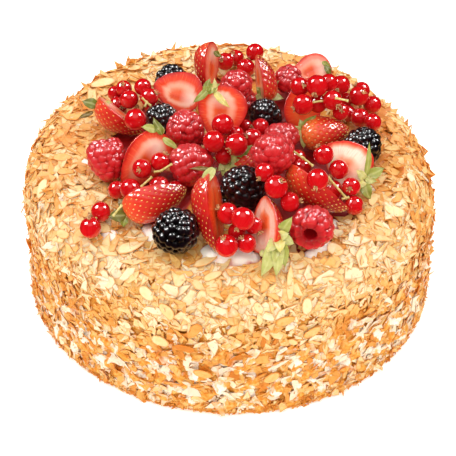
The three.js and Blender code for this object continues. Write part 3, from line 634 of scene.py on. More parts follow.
# Strawberry flesh as a knife leaves it: a red rim under the skin, orange flesh with pale fibres
# that run out to the seeds, a pale ring round an orange core, and whiter flesh at the stem end.
# How pale it is and how plain its ring is come with each fruit.
def strawberryFleshMaterial():
    material = bareMaterial("strawberryFlesh")
    place = addNode(material, "TexCoord")["Object"]
    cut, along, pale, ring = (addNode(material, "Attribute", attribute_name=key)["Fac"]
                              for key in ("cut", "along", "pale", "ring"))
    # the spoke is a heading from the core, so its noises count streaks round the core
    spoke = addNode(material, "Attribute", attribute_name="spoke")["Vector"]
    fibres = addNode(material, "TexNoise", {
        "Vector": spoke, "Scale": 11, "Detail": 3, "Roughness": 0.65})["Fac"]
    blotch = addNode(material, "TexNoise", {"Vector": spoke, "Scale": 2.4, "Detail": 2})["Fac"]
    waved = addNode(material, "Math", {0: blotch, 1: 0.24, 2: cut}, operation="MULTIPLY_ADD")[0]
    scaled = addNode(material, "Math", {0: waved, 1: 0.87}, operation="MULTIPLY")[0]
    red = addNode(material, "ValToRGB", {"Fac": scaled}, [
        (0.15, "#e24a1a"), (0.4, "#ec6630"), (0.6, "#ea4e1c"), (0.8, "#e03412"), (0.92, "#d0200e"),
        (0.97, "#b4120c")])
    frosted = addNode(material, "ValToRGB", {"Fac": scaled}, [
        (0.3, "#ea5826"), (0.45, "#f48c5c"), (0.58, "#feeadc"), (0.78, "#fde4d6"), (0.88, "#f08466"),
        (0.95, "#d62e1c")])
    flesh = addNode(material, "Mix", {0: pale, 6: red[0], 7: frosted[0]}, data_type="RGBA")[2]
    ringPlace = addNode(material, "ValToRGB", {"Fac": scaled}, [
        (0.3, 0.0), (0.46, 0.75), (0.54, 0.75), (0.7, 0.0)])
    ringShare = addNode(material, "Math", {0: ringPlace[0], 1: ring}, operation="MULTIPLY")[0]
    ringed = addNode(material, "Mix", {0: ringShare, 6: flesh, 7: "#fcd8c0"}, data_type="RGBA")[2]
    stemEnd = addNode(material, "ValToRGB", {"Fac": along}, [(0.05, 0.95), (0.24, 0.6), (0.44, 0.0)])
    inside = addNode(material, "ValToRGB", {"Fac": scaled}, [(0.35, 1.0), (0.66, 0.0)])
    whiter = addNode(material, "Math", {0: stemEnd[0], 1: inside[0]}, operation="MULTIPLY")[0]
    stemmed = addNode(material, "Mix", {0: whiter, 6: ringed, 7: "#fdeadd"}, data_type="RGBA")[2]
    streak = addNode(material, "ValToRGB", {"Fac": fibres}, [(0.5, 0.0), (0.68, 0.5)])
    fade = addNode(material, "ValToRGB", {"Fac": cut}, [(0.4, 0.0), (0.65, 0.75), (0.88, 0.75), (0.96, 0.0)])
    amount = addNode(material, "Math", {0: streak[0], 1: fade[0]}, operation="MULTIPLY")[0]
    colour = addNode(material, "Mix", {0: amount, 6: stemmed, 7: "#f4884e"}, data_type="RGBA")[2]
    bump = addNode(material, "Bump", {"Height": fibres, "Strength": 0.3, "Distance": 0.5 * mm})
    waves = glazeWaves(material, place, strawberry["glazeRuns"], 2, 0.8, 1.0)
    shader = addNode(material, "BsdfPrincipled", {
        "Base Color": colour, "Roughness": 0.34, "IOR": 1.4, "Normal": bump[0],
        "Subsurface Weight": 0.2, "Subsurface Radius": (1.0, 0.4, 0.25), "Subsurface Scale": 1.2 * mm,
        "Coat Weight": 0.55, "Coat Roughness": 0.04, "Coat Normal": waves})
    return finishMaterial(material, shader)


# Strawberry seeds: small dry fruits with a hard straw-coloured shell.
def seedMaterial():
    material = bareMaterial("strawberrySeedShell")
    place = addNode(material, "TexCoord")["Object"]
    shade = addNode(material, "TexNoise", {
        "Vector": place, "Scale": patchScale(strawberry["seedShades"]), "Detail": 1})["Fac"]
    colour = addNode(material, "ValToRGB", {"Fac": shade}, [
        (0.35, "#c98a2e"), (0.52, "#e9c162"), (0.7, "#f4dd92")])
    shader = addNode(material, "BsdfPrincipled", {"Base Color": colour[0], "Roughness": 0.32, "IOR": 1.5})
    return finishMaterial(material, shader)


# Sepals: leaf tissue with a waxy skin, pale along the midrib, with veins that slant to the edge.
# Each is pale, fresh or dried.
def leafMaterial():
    material = bareMaterial("strawberryLeaf")
    place = addNode(material, "TexCoord")["Object"]
    along, across, tint = (addNode(material, "Attribute", attribute_name=key)["Fac"]
                           for key in ("along", "across", "tint"))
    patch = addNode(material, "TexNoise", {
        "Vector": place, "Scale": patchScale(strawberry["leafPatches"]), "Detail": 3})["Fac"]
    fromRib = addNode(material, "Math", {0: across}, operation="ABSOLUTE")[0]
    shifted = addNode(material, "Math", {0: patch, 1: 0.7, 2: tint}, operation="MULTIPLY_ADD")[0]
    scaled = addNode(material, "Math", {0: shifted, 1: 0.42}, operation="MULTIPLY")[0]
    blade = addNode(material, "ValToRGB", {"Fac": scaled}, [
        (0.08, "#dccb62"), (0.2, "#c6c684"), (0.34, "#a6aa50"), (0.52, "#727c22"), (0.72, "#6a5a18"),
        (0.92, "#8c5c20")])
    rib = addNode(material, "ValToRGB", {"Fac": fromRib}, [(0.0, 0.3), (0.3, 0.0)])
    colour = addNode(material, "Mix", {0: rib[0], 6: blade[0], 7: "#dfe2a4"}, data_type="RGBA")[2]
    slant = addNode(material, "Math", {0: along, 1: 1.6, 2: fromRib}, operation="MULTIPLY_ADD")[0]
    veins = addNode(material, "Math", {0: slant, 1: 0.12}, operation="PINGPONG")[0]
    bump = addNode(material, "Bump", {"Height": veins, "Strength": 0.5, "Distance": 1.5 * mm})
    shader = addNode(material, "BsdfPrincipled", {
        "Base Color": colour, "Roughness": 0.45, "IOR": 1.45, "Normal": bump[0],
        "Subsurface Weight": 0.15, "Subsurface Radius": (0.5, 1.0, 0.2), "Subsurface Scale": 0.8 * mm,
        "Coat Weight": 0.15, "Coat Roughness": 0.3})
    return finishMaterial(material, shader)


# The sepals of one strawberry as one piece.
def makeCalyx(name, stem, stemRadius, leaf):
    shapes = [stemShape(stem, stemRadius)] if len(sepals[name]) >= strawberry["fullCalyx"] else []
    for foot, tip, width, middleNearer, tipNearer, tint in sepals[name]:
        first, last = sightPoint(foot, stem, strawberry["leafRise"]), sightPoint(tip, stem, tipNearer)
        bowed = (first + last) / 2 + pictureTowards * (middleNearer - 0.5 * tipNearer)
        shapes.append(sepalShape(first, bowed, last, width, tint))
    corners, faces, _, values = joinShapes(shapes)
    fitPiece(meshPiece(f"{name}_calyx", corners, faces, [leaf], values))


# The seeds of one strawberry: small balls of uneven size at their places on the skin.
def makeSeeds(name, seeds, axes, shell, random):
    seedCorners, seedFaces = smallBall(3, 6, strawberry["seedSize"])
    scale = 0.8 + 0.35 * random.random((len(seeds), 1, 1))
    corners = np.einsum("nij,kj->nki", axes * scale, seedCorners) + seeds[:, None]
    faces = copiedFaces(seedFaces, len(seeds), len(seedCorners))
    fitPiece(meshPiece(f"{name}_seeds", corners.reshape(-1, 3), faces, [shell]))


def makeStrawberries():
    skin, flesh = strawberrySkinMaterial(), strawberryFleshMaterial()
    shell, leaf = seedMaterial(), leafMaterial()
    random = np.random.default_rng(11)
    for number, (name, fact) in enumerate(strawberries.items()):
        size, isWhole = fact["size"], fact.get("whole", False)
        turn = turnOf(fact["points"], fact.get("leans", 0), fact.get("roll", 0))
        grid, ends, isFlesh, seeds, axes = strawberryShape(size, isWhole, number)
        place = placeOf(name, turn, ends[1], np.array([1.0, 0, 0]))
        local = np.concatenate([grid.reshape(-1, 3), ends])
        corners = local @ turn.T + place
        faces = facingOut(corners, wrappedFaces(*grid.shape[:2]))
        fleshFace = isFlesh | np.roll(isFlesh, -1)
        faceMaterials = [np.tile(fleshFace, len(grid) - 1), fleshFace, fleshFace]
        share, spoke = cutPlaces(local, size, fact.get("core", 0))
        same = np.ones(len(local))
        values = {
            "along": local[:, 0] / size[0] + 0.5 + fact.get("ripe", 0),
            "cut": share,
            "spoke": np.concatenate([spoke, 0.12 * share[:, None] + 3 * number], 1),
            "pale": fact.get("pale", 0) * same,
            "ring": fact.get("ring", 0) * same,
        }
        item = meshPiece(f"{name}_body", corners, faces, [skin, flesh], values, faceMaterials)
        fruitPiece(item, name)
        makeSeeds(name, seeds @ turn.T + place, turn @ axes, shell, random)
        if name in sepals:
            makeCalyx(name, turn @ ends[0] + place, 0.09 * size[1], leaf)


# Raspberries and brambles
# Each one's length and width, the heading of its tip in the picture and its lean towards the viewer.
raspberries = {
    "raspberry_back_right": {"size": (14, 13), "points": 60},
    "raspberry_top_low": {"size": (12, 11), "points": -60, "leans": 30},
    "raspberry_top": {"size": (15, 13.5), "points": 90, "leans": 60},
    "raspberry_left": {"size": (20, 16), "points": -80, "leans": 10},
    "raspberry_mid_left": {"size": (17, 16), "points": 200, "leans": 40},
    "raspberry_right_rear": {"size": (16, 14), "points": 30, "leans": 10},
    "raspberry_right": {"size": (17, 17), "points": 100, "leans": 65},
    "raspberry_mid": {"size": (19, 17), "points": 20, "leans": 15},
    "raspberry_front_right": {"size": (18, 17), "points": 70, "leans": -55},
}
brambles = {
    "bramble_back_left": {"size": (16, 15), "points": 100, "leans": 20},
    "bramble_mid_left": {"size": (15, 13.5), "points": 160, "leans": 30},
    "bramble_top": {"size": (16, 13), "points": -20, "leans": 20},
    "bramble_right": {"size": (18, 16), "points": -60, "leans": 20},
    "bramble_centre": {"size": (21, 19.5), "points": 60, "leans": 55},
    "bramble_front_left": {"size": (19, 19), "points": -60, "leans": 45},
}
drupelets = {
    "rows": 96,
    "around": 132,
    "glazeRuns": 4.2,  # waves of the glaze in 10 mm
    "down": 14,  # hairs of the fine down in 10 mm
    "fullWidth": 17,  # the width of a berry whose drupelets have the full spacing
    # the wall of a hollow, from its end to the lip, as shares of the berry's length and width
    "hollowLine": [(0.56, 0.0), (0.54, 0.07), (0.45, 0.12), (0.25, 0.15), (0.08, 0.165), (0.01, 0.22),
                   (0.03, 0.33)],
}
# How the drupelets of each kind sit: their spacing, radius and depth in the berry's outline, where
# the outline starts to sink for them, as shares of the width, and whether the berry is hollow.
drupeletKinds = {
    "raspberry": {"spacing": 3.4, "swell": 0.7, "deep": 0.62, "sinkOver": 0.12, "sinkFrom": 1.7,
                  "hollow": True},
    "bramble": {"spacing": 3.4, "swell": 0.62, "deep": 0.72, "sinkOver": 0.25, "sinkFrom": 0,
                "hollow": False},
}


# How far each point of a line lies along it.
def runAlong(points):
    return np.concatenate([[0], np.cumsum(np.linalg.norm(np.diff(points, axis=0), axis=1))])


# The outline of the berry under its drupelets, from one pole to the other, as shares of its
# length and width, and how far along it the outside starts. A hollow berry's comes up out of its
# hollow and over the lip.
def berryOutline(isHollow):
    angle = np.linspace(0.2 * math.pi if isHollow else 0.02, math.pi - 0.02, 60)
    reach = 0.53 * np.sin(angle) ** 0.8 * (1 + 0.14 * np.cos(angle))
    outside = np.stack([0.5 - 0.5 * np.cos(angle), reach], 1)
    if not isHollow:
        return np.concatenate([[[0, 0]], outside, [[1, 0]]]), 0.0
    inside = drupelets["hollowLine"]
    outline = np.concatenate([inside, outside, [[1, 0]]])
    run = runAlong(outline)
    return outline, run[len(inside)] / run[-1]


# The points of a line at some distances along it.
def pointsAt(points, run, distance):
    return np.stack([np.interp(distance, run, column) for column in points.T], -1)


# The middles and radii of a berry's drupelets: rings along the outline, from the lip to the tip,
# with each ball a little out of place and of its own size.
def drupeletBalls(points, run, firstRing, spacing, ball, random):
    middles, radii = [], []
    rings = max(3, round((run[-1] - firstRing) / (0.86 * spacing)))
    for ring in range(rings + 1):
        along, reach = pointsAt(points, run, firstRing + (run[-1] - firstRing) * ring / rings)
        count = max(1, round(2 * math.pi * reach / spacing))
        turn = (np.arange(count) + 0.5 * ring + 0.4 * random.random(count)) / count * 2 * math.pi
        reach = reach * (1 + 0.03 * (random.random(count) - 0.5))
        along = along + 0.22 * spacing * (random.random(count) - 0.5)
        middles.append(np.stack([along, reach * np.cos(turn), reach * np.sin(turn)], 1))
        radii.append(ball * (0.84 + 0.3 * random.random(count)))
    return np.concatenate(middles), np.concatenate(radii)


# A berry of drupelets: the outline turned about its length and swollen out by balls that sit on it
# in rings. How far a point swells is the height of the tallest ball over it.
def berryShape(size, fact, random):
    long, wide = size
    outline, firstOutside = berryOutline(fact["hollow"])
    points = (outline - [0.5, 0]) * [long, wide]
    spacing = fact["spacing"] * (0.8 + 0.2 * wide / drupelets["fullWidth"])
    ball = fact["swell"] * spacing
    sunk = fact["deep"] * ball
    isOut = np.clip(points[:, 1] / (fact["sinkOver"] * wide) - fact["sinkFrom"], 0, 1)
    points[:, 1] = np.maximum(0, points[:, 1] - sunk * isOut)
    points[:, 0] *= 1 - sunk / (0.5 * long)
    run = runAlong(points)
    firstRing = firstOutside * run[-1]
    middles, radii = drupeletBalls(points, run, firstRing, spacing, ball, random)
    rows, around = drupelets["rows"], drupelets["around"]
    distance = (np.arange(rows) + 1) / (rows + 1) * run[-1]
    profile = pointsAt(points, run, distance)
    slope = unit(np.gradient(profile, axis=0))
    turn = ringTurns(around)
    lengthwise = np.array([1, 0, 0])
    outward = np.stack([np.zeros(around), np.cos(turn), np.sin(turn)], 1)
    base = profile[:, None, :1] * lengthwise + profile[:, None, 1:] * outward
    normal = -slope[:, None, 1:] * lengthwise + slope[:, None, :1] * outward
    flat, facing = base.reshape(-1, 3), normal.reshape(-1, 3)
    apart = np.linalg.norm(flat[:, None] - middles[None], axis=2)
    swell = np.sqrt(np.maximum(0, radii[None] ** 2 - apart ** 2)).max(1)
    if fact["hollow"]:
        swell *= np.repeat(np.clip((distance - 0.72 * firstRing) / (0.28 * firstRing), 0, 1), around)
    poles = np.array([[points[0, 0], 0, 0], [points[-1, 0] + ball * 0.96, 0, 0]])
    corners = np.concatenate([flat + facing * swell[:, None], poles])
    tone = random.random(len(middles))[apart.argmin(1)]
    values = {
        "swell": np.concatenate([swell / ball, [0.3, 1.0]]),
        "tone": np.concatenate([tone, [0.5, 0.5]]),
    }
    return corners, wrappedFaces(rows, around), values


# Drupelet skin: a thin skin over juice under a glaze. The raspberry's lets light through, the bramble's is
# tight and nearly black.
# Both are painted darker in the creases as shade, and lighter on the tops of the drupelets.
def drupeletMaterial(name, deep, body, ripe, roughness, waviness, glow):
    material = bareMaterial(name)
    place = addNode(material, "TexCoord")["Object"]
    swell, tone = (addNode(material, "Attribute", attribute_name=key)["Fac"] for key in ("swell", "tone"))
    # painted shade: the ramp runs from the dark crease colour up to a lighter colour on each drupelet's top,
    # with a random shade per drupelet
    mixed = addNode(material, "Math", {0: tone, 1: 0.2, 2: swell}, operation="MULTIPLY_ADD")[0]
    colour = addNode(material, "ValToRGB", {"Fac": mixed}, [(0.3, deep), (0.75, body), (1.0, ripe)])
    down = addNode(material, "TexNoise", {
        "Vector": place, "Scale": patchScale(drupelets["down"]), "Detail": 2})["Fac"]
    bump = addNode(material, "Bump", {"Height": down, "Strength": 0.15, "Distance": 0.3 * mm})
    waves = glazeWaves(material, place, drupelets["glazeRuns"], 2, 0.8, waviness)
    shader = addNode(material, "BsdfPrincipled", {
        "Base Color": colour[0], "Roughness": roughness, "IOR": 1.4, "Normal": bump[0],
        "Subsurface Weight": glow, "Subsurface Radius": (1.0, 0.15, 0.18), "Subsurface Scale": 3 * mm,
        "Coat Weight": 1.0, "Coat Roughness": 0.03, "Coat Normal": waves})
    return finishMaterial(material, shader)


def makeDrupeBerries():
    # in each call the first colour is the painted crease shade and the last the lighter drupelet tops
    red = drupeletMaterial("raspberryDrupelets", "#a0020e", "#ba0512", "#c41720", 0.5, 1.0, 0.32)
    black = drupeletMaterial("brambleDrupelets", "#030001", "#070204", "#10040a", 0.3, 0.4, 0.0)
    random = np.random.default_rng(23)
    for berries, kind, material in ((raspberries, "raspberry", red), (brambles, "bramble", black)):
        for name, fact in berries.items():
            turn = turnOf(fact["points"], fact.get("leans", 0))
            half = fact["size"][0] / 2
            place = placeOf(name, turn, np.array([half, 0, 0]), np.array([1.0, 0, 0]))
            local, faces, values = berryShape(fact["size"], drupeletKinds[kind], random)
            corners = local @ turn.T + place
            item = meshPiece(f"{name}_berry", corners, facingOut(corners, faces), [material], values)
            fruitPiece(item, name)


# Red currants
# Where each currant of a sprig lies in the picture's axes, to the right of the first one and above
# it, and its size. A fourth number is how far in front of the first one it lies.
sprigs = {
    "currants_back_a": [(0, 0, 9), (5.4, 2.5, 8.5)],
    "currants_back_b": [(0, 0, 9.6), (4.5, 8, 9)],
    "currants_left_b": [(0, 0, 9), (-3.4, 5.4, 8.5), (2, -4.8, 9)],
    "currants_left_a": [(0, 0, 9.3), (-5.8, -2.4, 9), (-2.9, 5.8, 8), (-7.7, 3.9, 7.5)],
    "currant_left_low": [(0, 0, 10.6)],
    "currants_right_b": [(0, 0, 9.8), (7, -3.9, 9), (-8.8, 5.4, 9.3), (2, 3.4, 8.5), (-6, -2, 8.5)],
    "currants_right_a": [(0, 0, 10.3), (-7.9, 0, 9), (5.9, 2, 8.5)],
    "currants_right_d": [(0, 0, 8.6), (-5.4, 2.5, 9.3), (-10.8, 5, 8.5)],
    "currants_right_c": [(0, 0, 10), (13.7, 2, 9.3), (18, -3, 8), (7.3, 1, 9)],
    "currants_centre_c": [(0, 0, 9.8), (3.8, 5.6, 8.8), (-3.3, 6.1, 7.5)],
    "currants_centre_a": [(0, 0, 10.3), (6, -4.2, 8)],
    "currants_centre_b": [(0, 0, 10.3), (10.3, -1.4, 10.6), (4.5, -6.5, 8.5)],
    "currants_mid_left_b": [(0, 0, 9), (8.1, 3.1, 9)],
    "currants_mid_left_c": [(0, 0, 9.6), (7, -1.4, 8.5)],
    "currants_mid_left_a": [(0, 0, 9.8), (-6.6, -0.4, 8.5)],
    "currants_far_right": [(0, 0, 9), (-1.3, 8.4, 8.5)],
    "currants_right_mid_b": [(0, 0, 8.5), (-1.9, 4.6, 8)],
    "currant_right_low": [(0, 0, 9.5)],
    "currants_right_mid_a": [(0, 0, 9.2), (-7, 6.6, 9.5)],
    "currant_right_mid_c": [(0, 0, 9.7)],
    "currants_front_c": [(0, 0, 10.4), (6.2, -6.6, 9), (-5, 6.5, 8.5)],
    "currants_left_pair": [(0, 0, 9.7), (4, 7, 9.3, -7)],
    "currants_front_a": [(0, 0, 10.4), (-6.6, 2.2, 9.7), (4.8, -3, 8)],
    "currants_front_b": [(0, 0, 10.2), (8.7, 0.9, 8.6), (4.5, 6, 8)],
}
# Bare stalks as the picture shows them: the pixels of both ends and how many millimetres nearer
# to the viewer they are than the sprig's first currant.
stalksSeen = {
    "currants_left_b": [((142, 98), (146, 102), 6), ((146, 102), (151, 106), 6),
                        ((145, 107), (147, 101), 6)],
    "currants_left_pair": [((113, 216), (122, 205), 4)],
    "currants_mid_left_b": [((172, 164), (161, 171), 6), ((161, 171), (154, 172), 5)],
    "currants_mid_left_c": [((152, 177), (141, 187), 6)],
    "currants_centre_c": [((190, 170), (217, 169), 7)],
    "currants_right_mid_a": [((293, 151), (303, 158), 7), ((303, 158), (313, 166), 7),
                             ((328, 177), (347, 199), 8), ((342, 199), (349, 197), 8)],
    "currants_right_c": [((335, 98), (348, 101), 7)],
}
currant = {
    "rows": 22,
    "around": 32,
    "stalk": 0.5,
    "tuft": (1.5, 0.231),  # length and half thickness of its dried petals
    "petals": 6,
    "glazeRuns": 2.6,  # waves of the glaze in 10 mm
    "fibres": 7,  # dark and light spots of petals and stalks in 10 mm
}
skinSlot, petalSlot, stalkSlot = 0, 1, 2  # the materials of a sprig


# The middles of a sprig's currants in the picture's axes. Each lies back against those before it,
# unless it says how far in front it lies.
def sprigMiddles(berries):
    middles = []
    for right, up, size, *inFront in berries:
        back = 0.0
        for at, before in middles:
            reach = 0.49 * (size + before)
            apart = math.hypot(right - at[0], up - at[1])
            if apart < reach:
                back = min(back, at[2] - math.sqrt(reach ** 2 - apart ** 2))
        middles.append((np.array([right, up, inFront[0] if inFront else back]), size))
    return middles


# A currant: a ball a little flat at its two ends, drawn in round the dried flower.
def currantShape(middle, size, axis):
    rows, around = currant["rows"], currant["around"]
    angle, turn = poleAngles(rows), ringTurns(around)
    along = np.cos(angle) * (1 - 0.05 * np.cos(angle) ** 4)
    reach = np.sin(angle) * (1 + 0.004 * np.cos(8 * angle))
    grid = axis * along[:, None, None] + reach[:, None, None] * circleRound(axis, turn)
    corners = np.concatenate([grid.reshape(-1, 3), [0.93 * axis, -0.93 * axis]]) * size / 2 + middle
    meridian = np.concatenate([np.tile(turn, rows), [0, 0]])
    polar = np.concatenate([np.repeat(angle / math.pi, around), [0, 1]])
    values = {"vein": np.stack([np.cos(meridian), np.sin(meridian), 0.25 * polar], -1)}
    return corners, facingOut(corners, wrappedFaces(rows, around)), values


# A round stalk along a bowed path, with a small knot at each end.
def stalkShape(first, middle, last, radius):
    rows, around = 9, 8
    share = np.linspace(0, 1, rows)
    spine = bowedPath(share, first, middle, last)
    heading = unit(spine[-1] - spine[0])
    thick = radius * (1 + 0.55 * np.abs(2 * share - 1) ** 6 + 0.08 * np.sin(23 * share))
    grid = spine[:, None] + thick[:, None, None] * circleRound(heading, ringTurns(around))
    poles = [spine[0] - 0.3 * heading * radius, spine[-1] + 0.3 * heading * radius]
    corners = np.concatenate([grid.reshape(-1, 3), poles])
    return corners, facingOut(corners, wrappedFaces(rows, around)), {"vein": corners * 0.2}


# The dried flower at the end of a currant: thin shrunken petals that stand up in a brush.
def tuftShapes(middle, size, axis, random):
    length, half = currant["tuft"]
    blades = []
    for k in range(currant["petals"]):
        out = circleRound(axis, 2 * math.pi * (k + 0.4 * random.random()) / currant["petals"])
        foot = middle + axis * size * 0.455 + out * 0.35
        tip = foot + axis * length * (0.6 + 0.5 * random.random()) + out * (0.3 + 1.1 * random.random())
        bow = (foot + tip) / 2 + out * 0.5 * random.random()
        blades.append(stalkShape(foot, bow, tip, half))
    return blades


# Red currant skin: clear red skin over juice, with paler veins from end to end that show where
# light comes through.
def currantMaterial():
    material = bareMaterial("currantSkin")
    place = addNode(material, "TexCoord")["Object"]
    # the vein is a place on a short tube round the currant, so its noise counts streaks round it
    vein = addNode(material, "Attribute", attribute_name="vein")["Vector"]
    streaks = addNode(material, "TexNoise", {"Vector": vein, "Scale": 5, "Detail": 1})["Fac"]
    colour = addNode(material, "ValToRGB", {"Fac": streaks}, [(0.3, "#ba0710"), (0.8, "#cb171e")])
    waves = glazeWaves(material, place, currant["glazeRuns"], 1, 0.5, 0.6)
    shader = addNode(material, "BsdfPrincipled", {
        "Base Color": colour[0], "Roughness": 0.12, "IOR": 1.42,
        "Subsurface Weight": 0.32, "Subsurface Radius": (1.0, 0.08, 0.06), "Subsurface Scale": 4 * mm,
        "Coat Weight": 1.0, "Coat Roughness": 0.02, "Coat Normal": waves})
    return finishMaterial(material, shader)


# Dried petals: brown papery tissue. The same make serves the green stalks in their own colours.
def dryMaterial(name, dark, light):
    material = bareMaterial(name)
    place = addNode(material, "TexCoord")["Object"]
    shade = addNode(material, "TexNoise", {
        "Vector": place, "Scale": patchScale(currant["fibres"]), "Detail": 2})["Fac"]
    colour = addNode(material, "ValToRGB", {"Fac": shade}, [(0.35, dark), (0.65, light)])
    bump = addNode(material, "Bump", {"Height": shade, "Strength": 0.4, "Distance": 0.3 * mm})
    shader = addNode(material, "BsdfPrincipled", {
        "Base Color": colour[0], "Roughness": 0.6, "IOR": 1.45, "Normal": bump[0]})
    return finishMaterial(material, shader)


# The currants of a sprig with their dried flowers and the stalks between them, in the sprig's own
# axes, and the material of each shape.
def sprigShapes(middles, random):
    shapes, kinds = [], []
    for i, (at, size) in enumerate(middles):
        axis = unit(random.normal(size=3) * [0.8, 0.7, 0.5] + [0, -0.15, 0.45])
        tuft = tuftShapes(at, size, axis, random)
        shapes += [currantShape(at, size, axis), *tuft]
        kinds += [skinSlot] + [petalSlot] * len(tuft)
        if i:
            near = min((other for other, _ in middles[:i]), key=lambda other: np.linalg.norm(other - at))
            bow = (near + at) / 2 + [0, 0.8, 0.8]
            shapes.append(stalkShape(near, bow, at, currant["stalk"]))
            kinds.append(stalkSlot)
    return shapes, kinds


def makeCurrants():
    petals = dryMaterial("driedPetals", "#8a5a30", "#e0b27c")
    green = dryMaterial("currantStalk", "#b0a04a", "#dccf8c")
    materials = [currantMaterial(), petals, green]
    random = np.random.default_rng(31)
    turn = turnOf()
    for name, berries in sprigs.items():
        middles = sprigMiddles(berries)
        topMiddle, topSize = max(middles, key=lambda berry: berry[0][1] + berry[1] / 2)
        place = placeOf(name, turn, topMiddle + [0, topSize / 2, 0], np.array([0, 1.0, 0]))
        shapes, kinds = sprigShapes(middles, random)
        for *ends, nearer in stalksSeen.get(name, []):
            first, last = (sightPoint(pixel, turn @ middles[0][0] + place, nearer) for pixel in ends)
            middle = (first + last) / 2 + pictureTowards * 0.5
            path = ((point - place) @ turn for point in (first, middle, last))
            shapes.append(stalkShape(*path, currant["stalk"]))
            kinds.append(stalkSlot)
        local, faces, owners, values = joinShapes(shapes)
        faceMaterials = [np.array(kinds)[owner] for owner in owners]
        item = meshPiece(f"{name}_sprig", local @ turn.T + place, faces, materials, values, faceMaterials)
        fruitPiece(item, name)


# Cream
cream = {
    "around": 480,
    "rows": 195,
    # the juice stain and the painted shade between the fruit spread this far from each fruit, from and to
    # these crowdings
    "crowdReach": 14,  # how far a fruit's juice counts
    "juiceAndShadeFrom": 1.4,
    "juiceAndShadeTo": 2.0,
    "bulge": 1.3,  # how far the bare patches of the wall swell out
    "bulgeWaves": (5, 13),
    "ripple": 0.25,
    "rippleWaves": (6, 16),
    "spotRise": 0.65,  # how high a spot of bare cream stands, as a share of its radius
    "softWaves": 1.2,  # the cream's own slow dips in 10 mm
    "fineCrumbs": 5.2,  # toasted crumbs that stick to it in 10 mm
}
# Where bare cream shows at the foot of the heap: pixels of the patch's middle and its radius.
creamSpots = [((157, 232), 6), ((149, 227), 4), ((214, 250), 6), ((226, 253), 6), ((240, 255), 6),
              ((253, 255), 4), ((110, 232), 4), ((88, 160), 3.5), ((322, 243), 4.5), ((332, 221), 3.5),
              ((235, 275), 2.5), ((227, 280), 2.5), ((311, 251), 3)]


# Whipped cream: fat and air, so it is white and lets light in a little way. Under the fruit it is stained by
# juice and painted a darker red as shade where fruit crowds, and fine toasted crumbs stick to it between the
# flakes.
def creamMaterial():
    material = bareMaterial("whippedCream")
    place = addNode(material, "TexCoord")["Object"]
    juiceAndShade, crumbs, bare = (addNode(material, "Attribute", attribute_name=key)["Fac"]
                           for key in ("juiceAndShade", "crumbs", "bare"))
    soft = addNode(material, "TexNoise", {
        "Vector": place, "Scale": patchScale(cream["softWaves"]), "Detail": 4})["Fac"]
    fine = addNode(material, "TexNoise", {
        "Vector": place, "Scale": patchScale(cream["fineCrumbs"]), "Detail": 3})["Fac"]
    # toasted crumbs, whose orange also stands in for the warm shade between the flakes: partly painted shade
    crumbAndShadeColour = addNode(material, "ValToRGB", {"Fac": fine}, [
        (0.3, "#d47c1e"), (0.5, "#e09c3e"), (0.7, "#e8bc70")])
    ragged = addNode(material, "Math", {0: fine, 1: 0.9, 2: crumbs}, operation="MULTIPLY_ADD")[0]
    covered = addNode(material, "ValToRGB", {"Fac": ragged}, [(0.5, 0.0), (0.78, 1.0)])
    white = addNode(material, "Mix", {0: bare, 6: "#f4eadc", 7: "#fffaf2"}, data_type="RGBA")[2]
    coated = addNode(material, "Mix", {0: covered[0], 6: white, 7: crumbAndShadeColour[0]}, data_type="RGBA")[2]
    # juice stain and painted shade: deeper red where fruit crowds, as shade between the fruit
    stainAndShade = addNode(material, "Math", {0: soft, 1: 0.3, 2: juiceAndShade}, operation="MULTIPLY_ADD")[0]
    stainAndShadeShare = addNode(material, "ValToRGB", {"Fac": stainAndShade}, [(0.25, 0.0), (0.42, 0.9), (0.6, 1.0)])
    stainAndShadeColour = addNode(material, "ValToRGB", {"Fac": stainAndShade}, [
        (0.25, "#e8744c"), (0.45, "#c02018"), (0.7, "#960e10")])
    colour = addNode(material, "Mix", {0: stainAndShadeShare[0], 6: coated, 7: stainAndShadeColour[0]}, data_type="RGBA")[2]
    bump = addNode(material, "Bump", {"Height": soft, "Strength": 0.4, "Distance": 1.5 * mm})
    shader = addNode(material, "BsdfPrincipled", {
        "Base Color": colour, "Roughness": 0.5, "IOR": 1.4, "Normal": bump[0],
        "Subsurface Weight": 0.4, "Subsurface Radius": (1.0, 0.85, 0.7), "Subsurface Scale": 2 * mm})
    return finishMaterial(material, shader)


# How thickly fruit stands round some points: near ones count fully, far ones not at all.
def crowding(points):
    apart = np.linalg.norm(points[:, None, :2] - np.array(fruitMiddles)[None, :, :2], axis=2)
    return np.exp(-(apart / cream["crowdReach"]) ** 2).sum(1)


# How much of a bare spot of cream some points lie in, fading out at its edge, or how high the
# cream stands there.
def spotShare(points, wider, asHeight=False):
    share = np.zeros(len(points))
    for pixel, reach in creamSpots:
        spot = levelPoint(pixel, cake["height"] + 1)
        apart = np.hypot(points[:, 0] - spot[0], points[:, 1] - spot[1])
        full = cream["spotRise"] * reach if asHeight else 1
        share = np.maximum(share, full * np.exp(-(apart / (wider * reach)) ** 4))
    return share


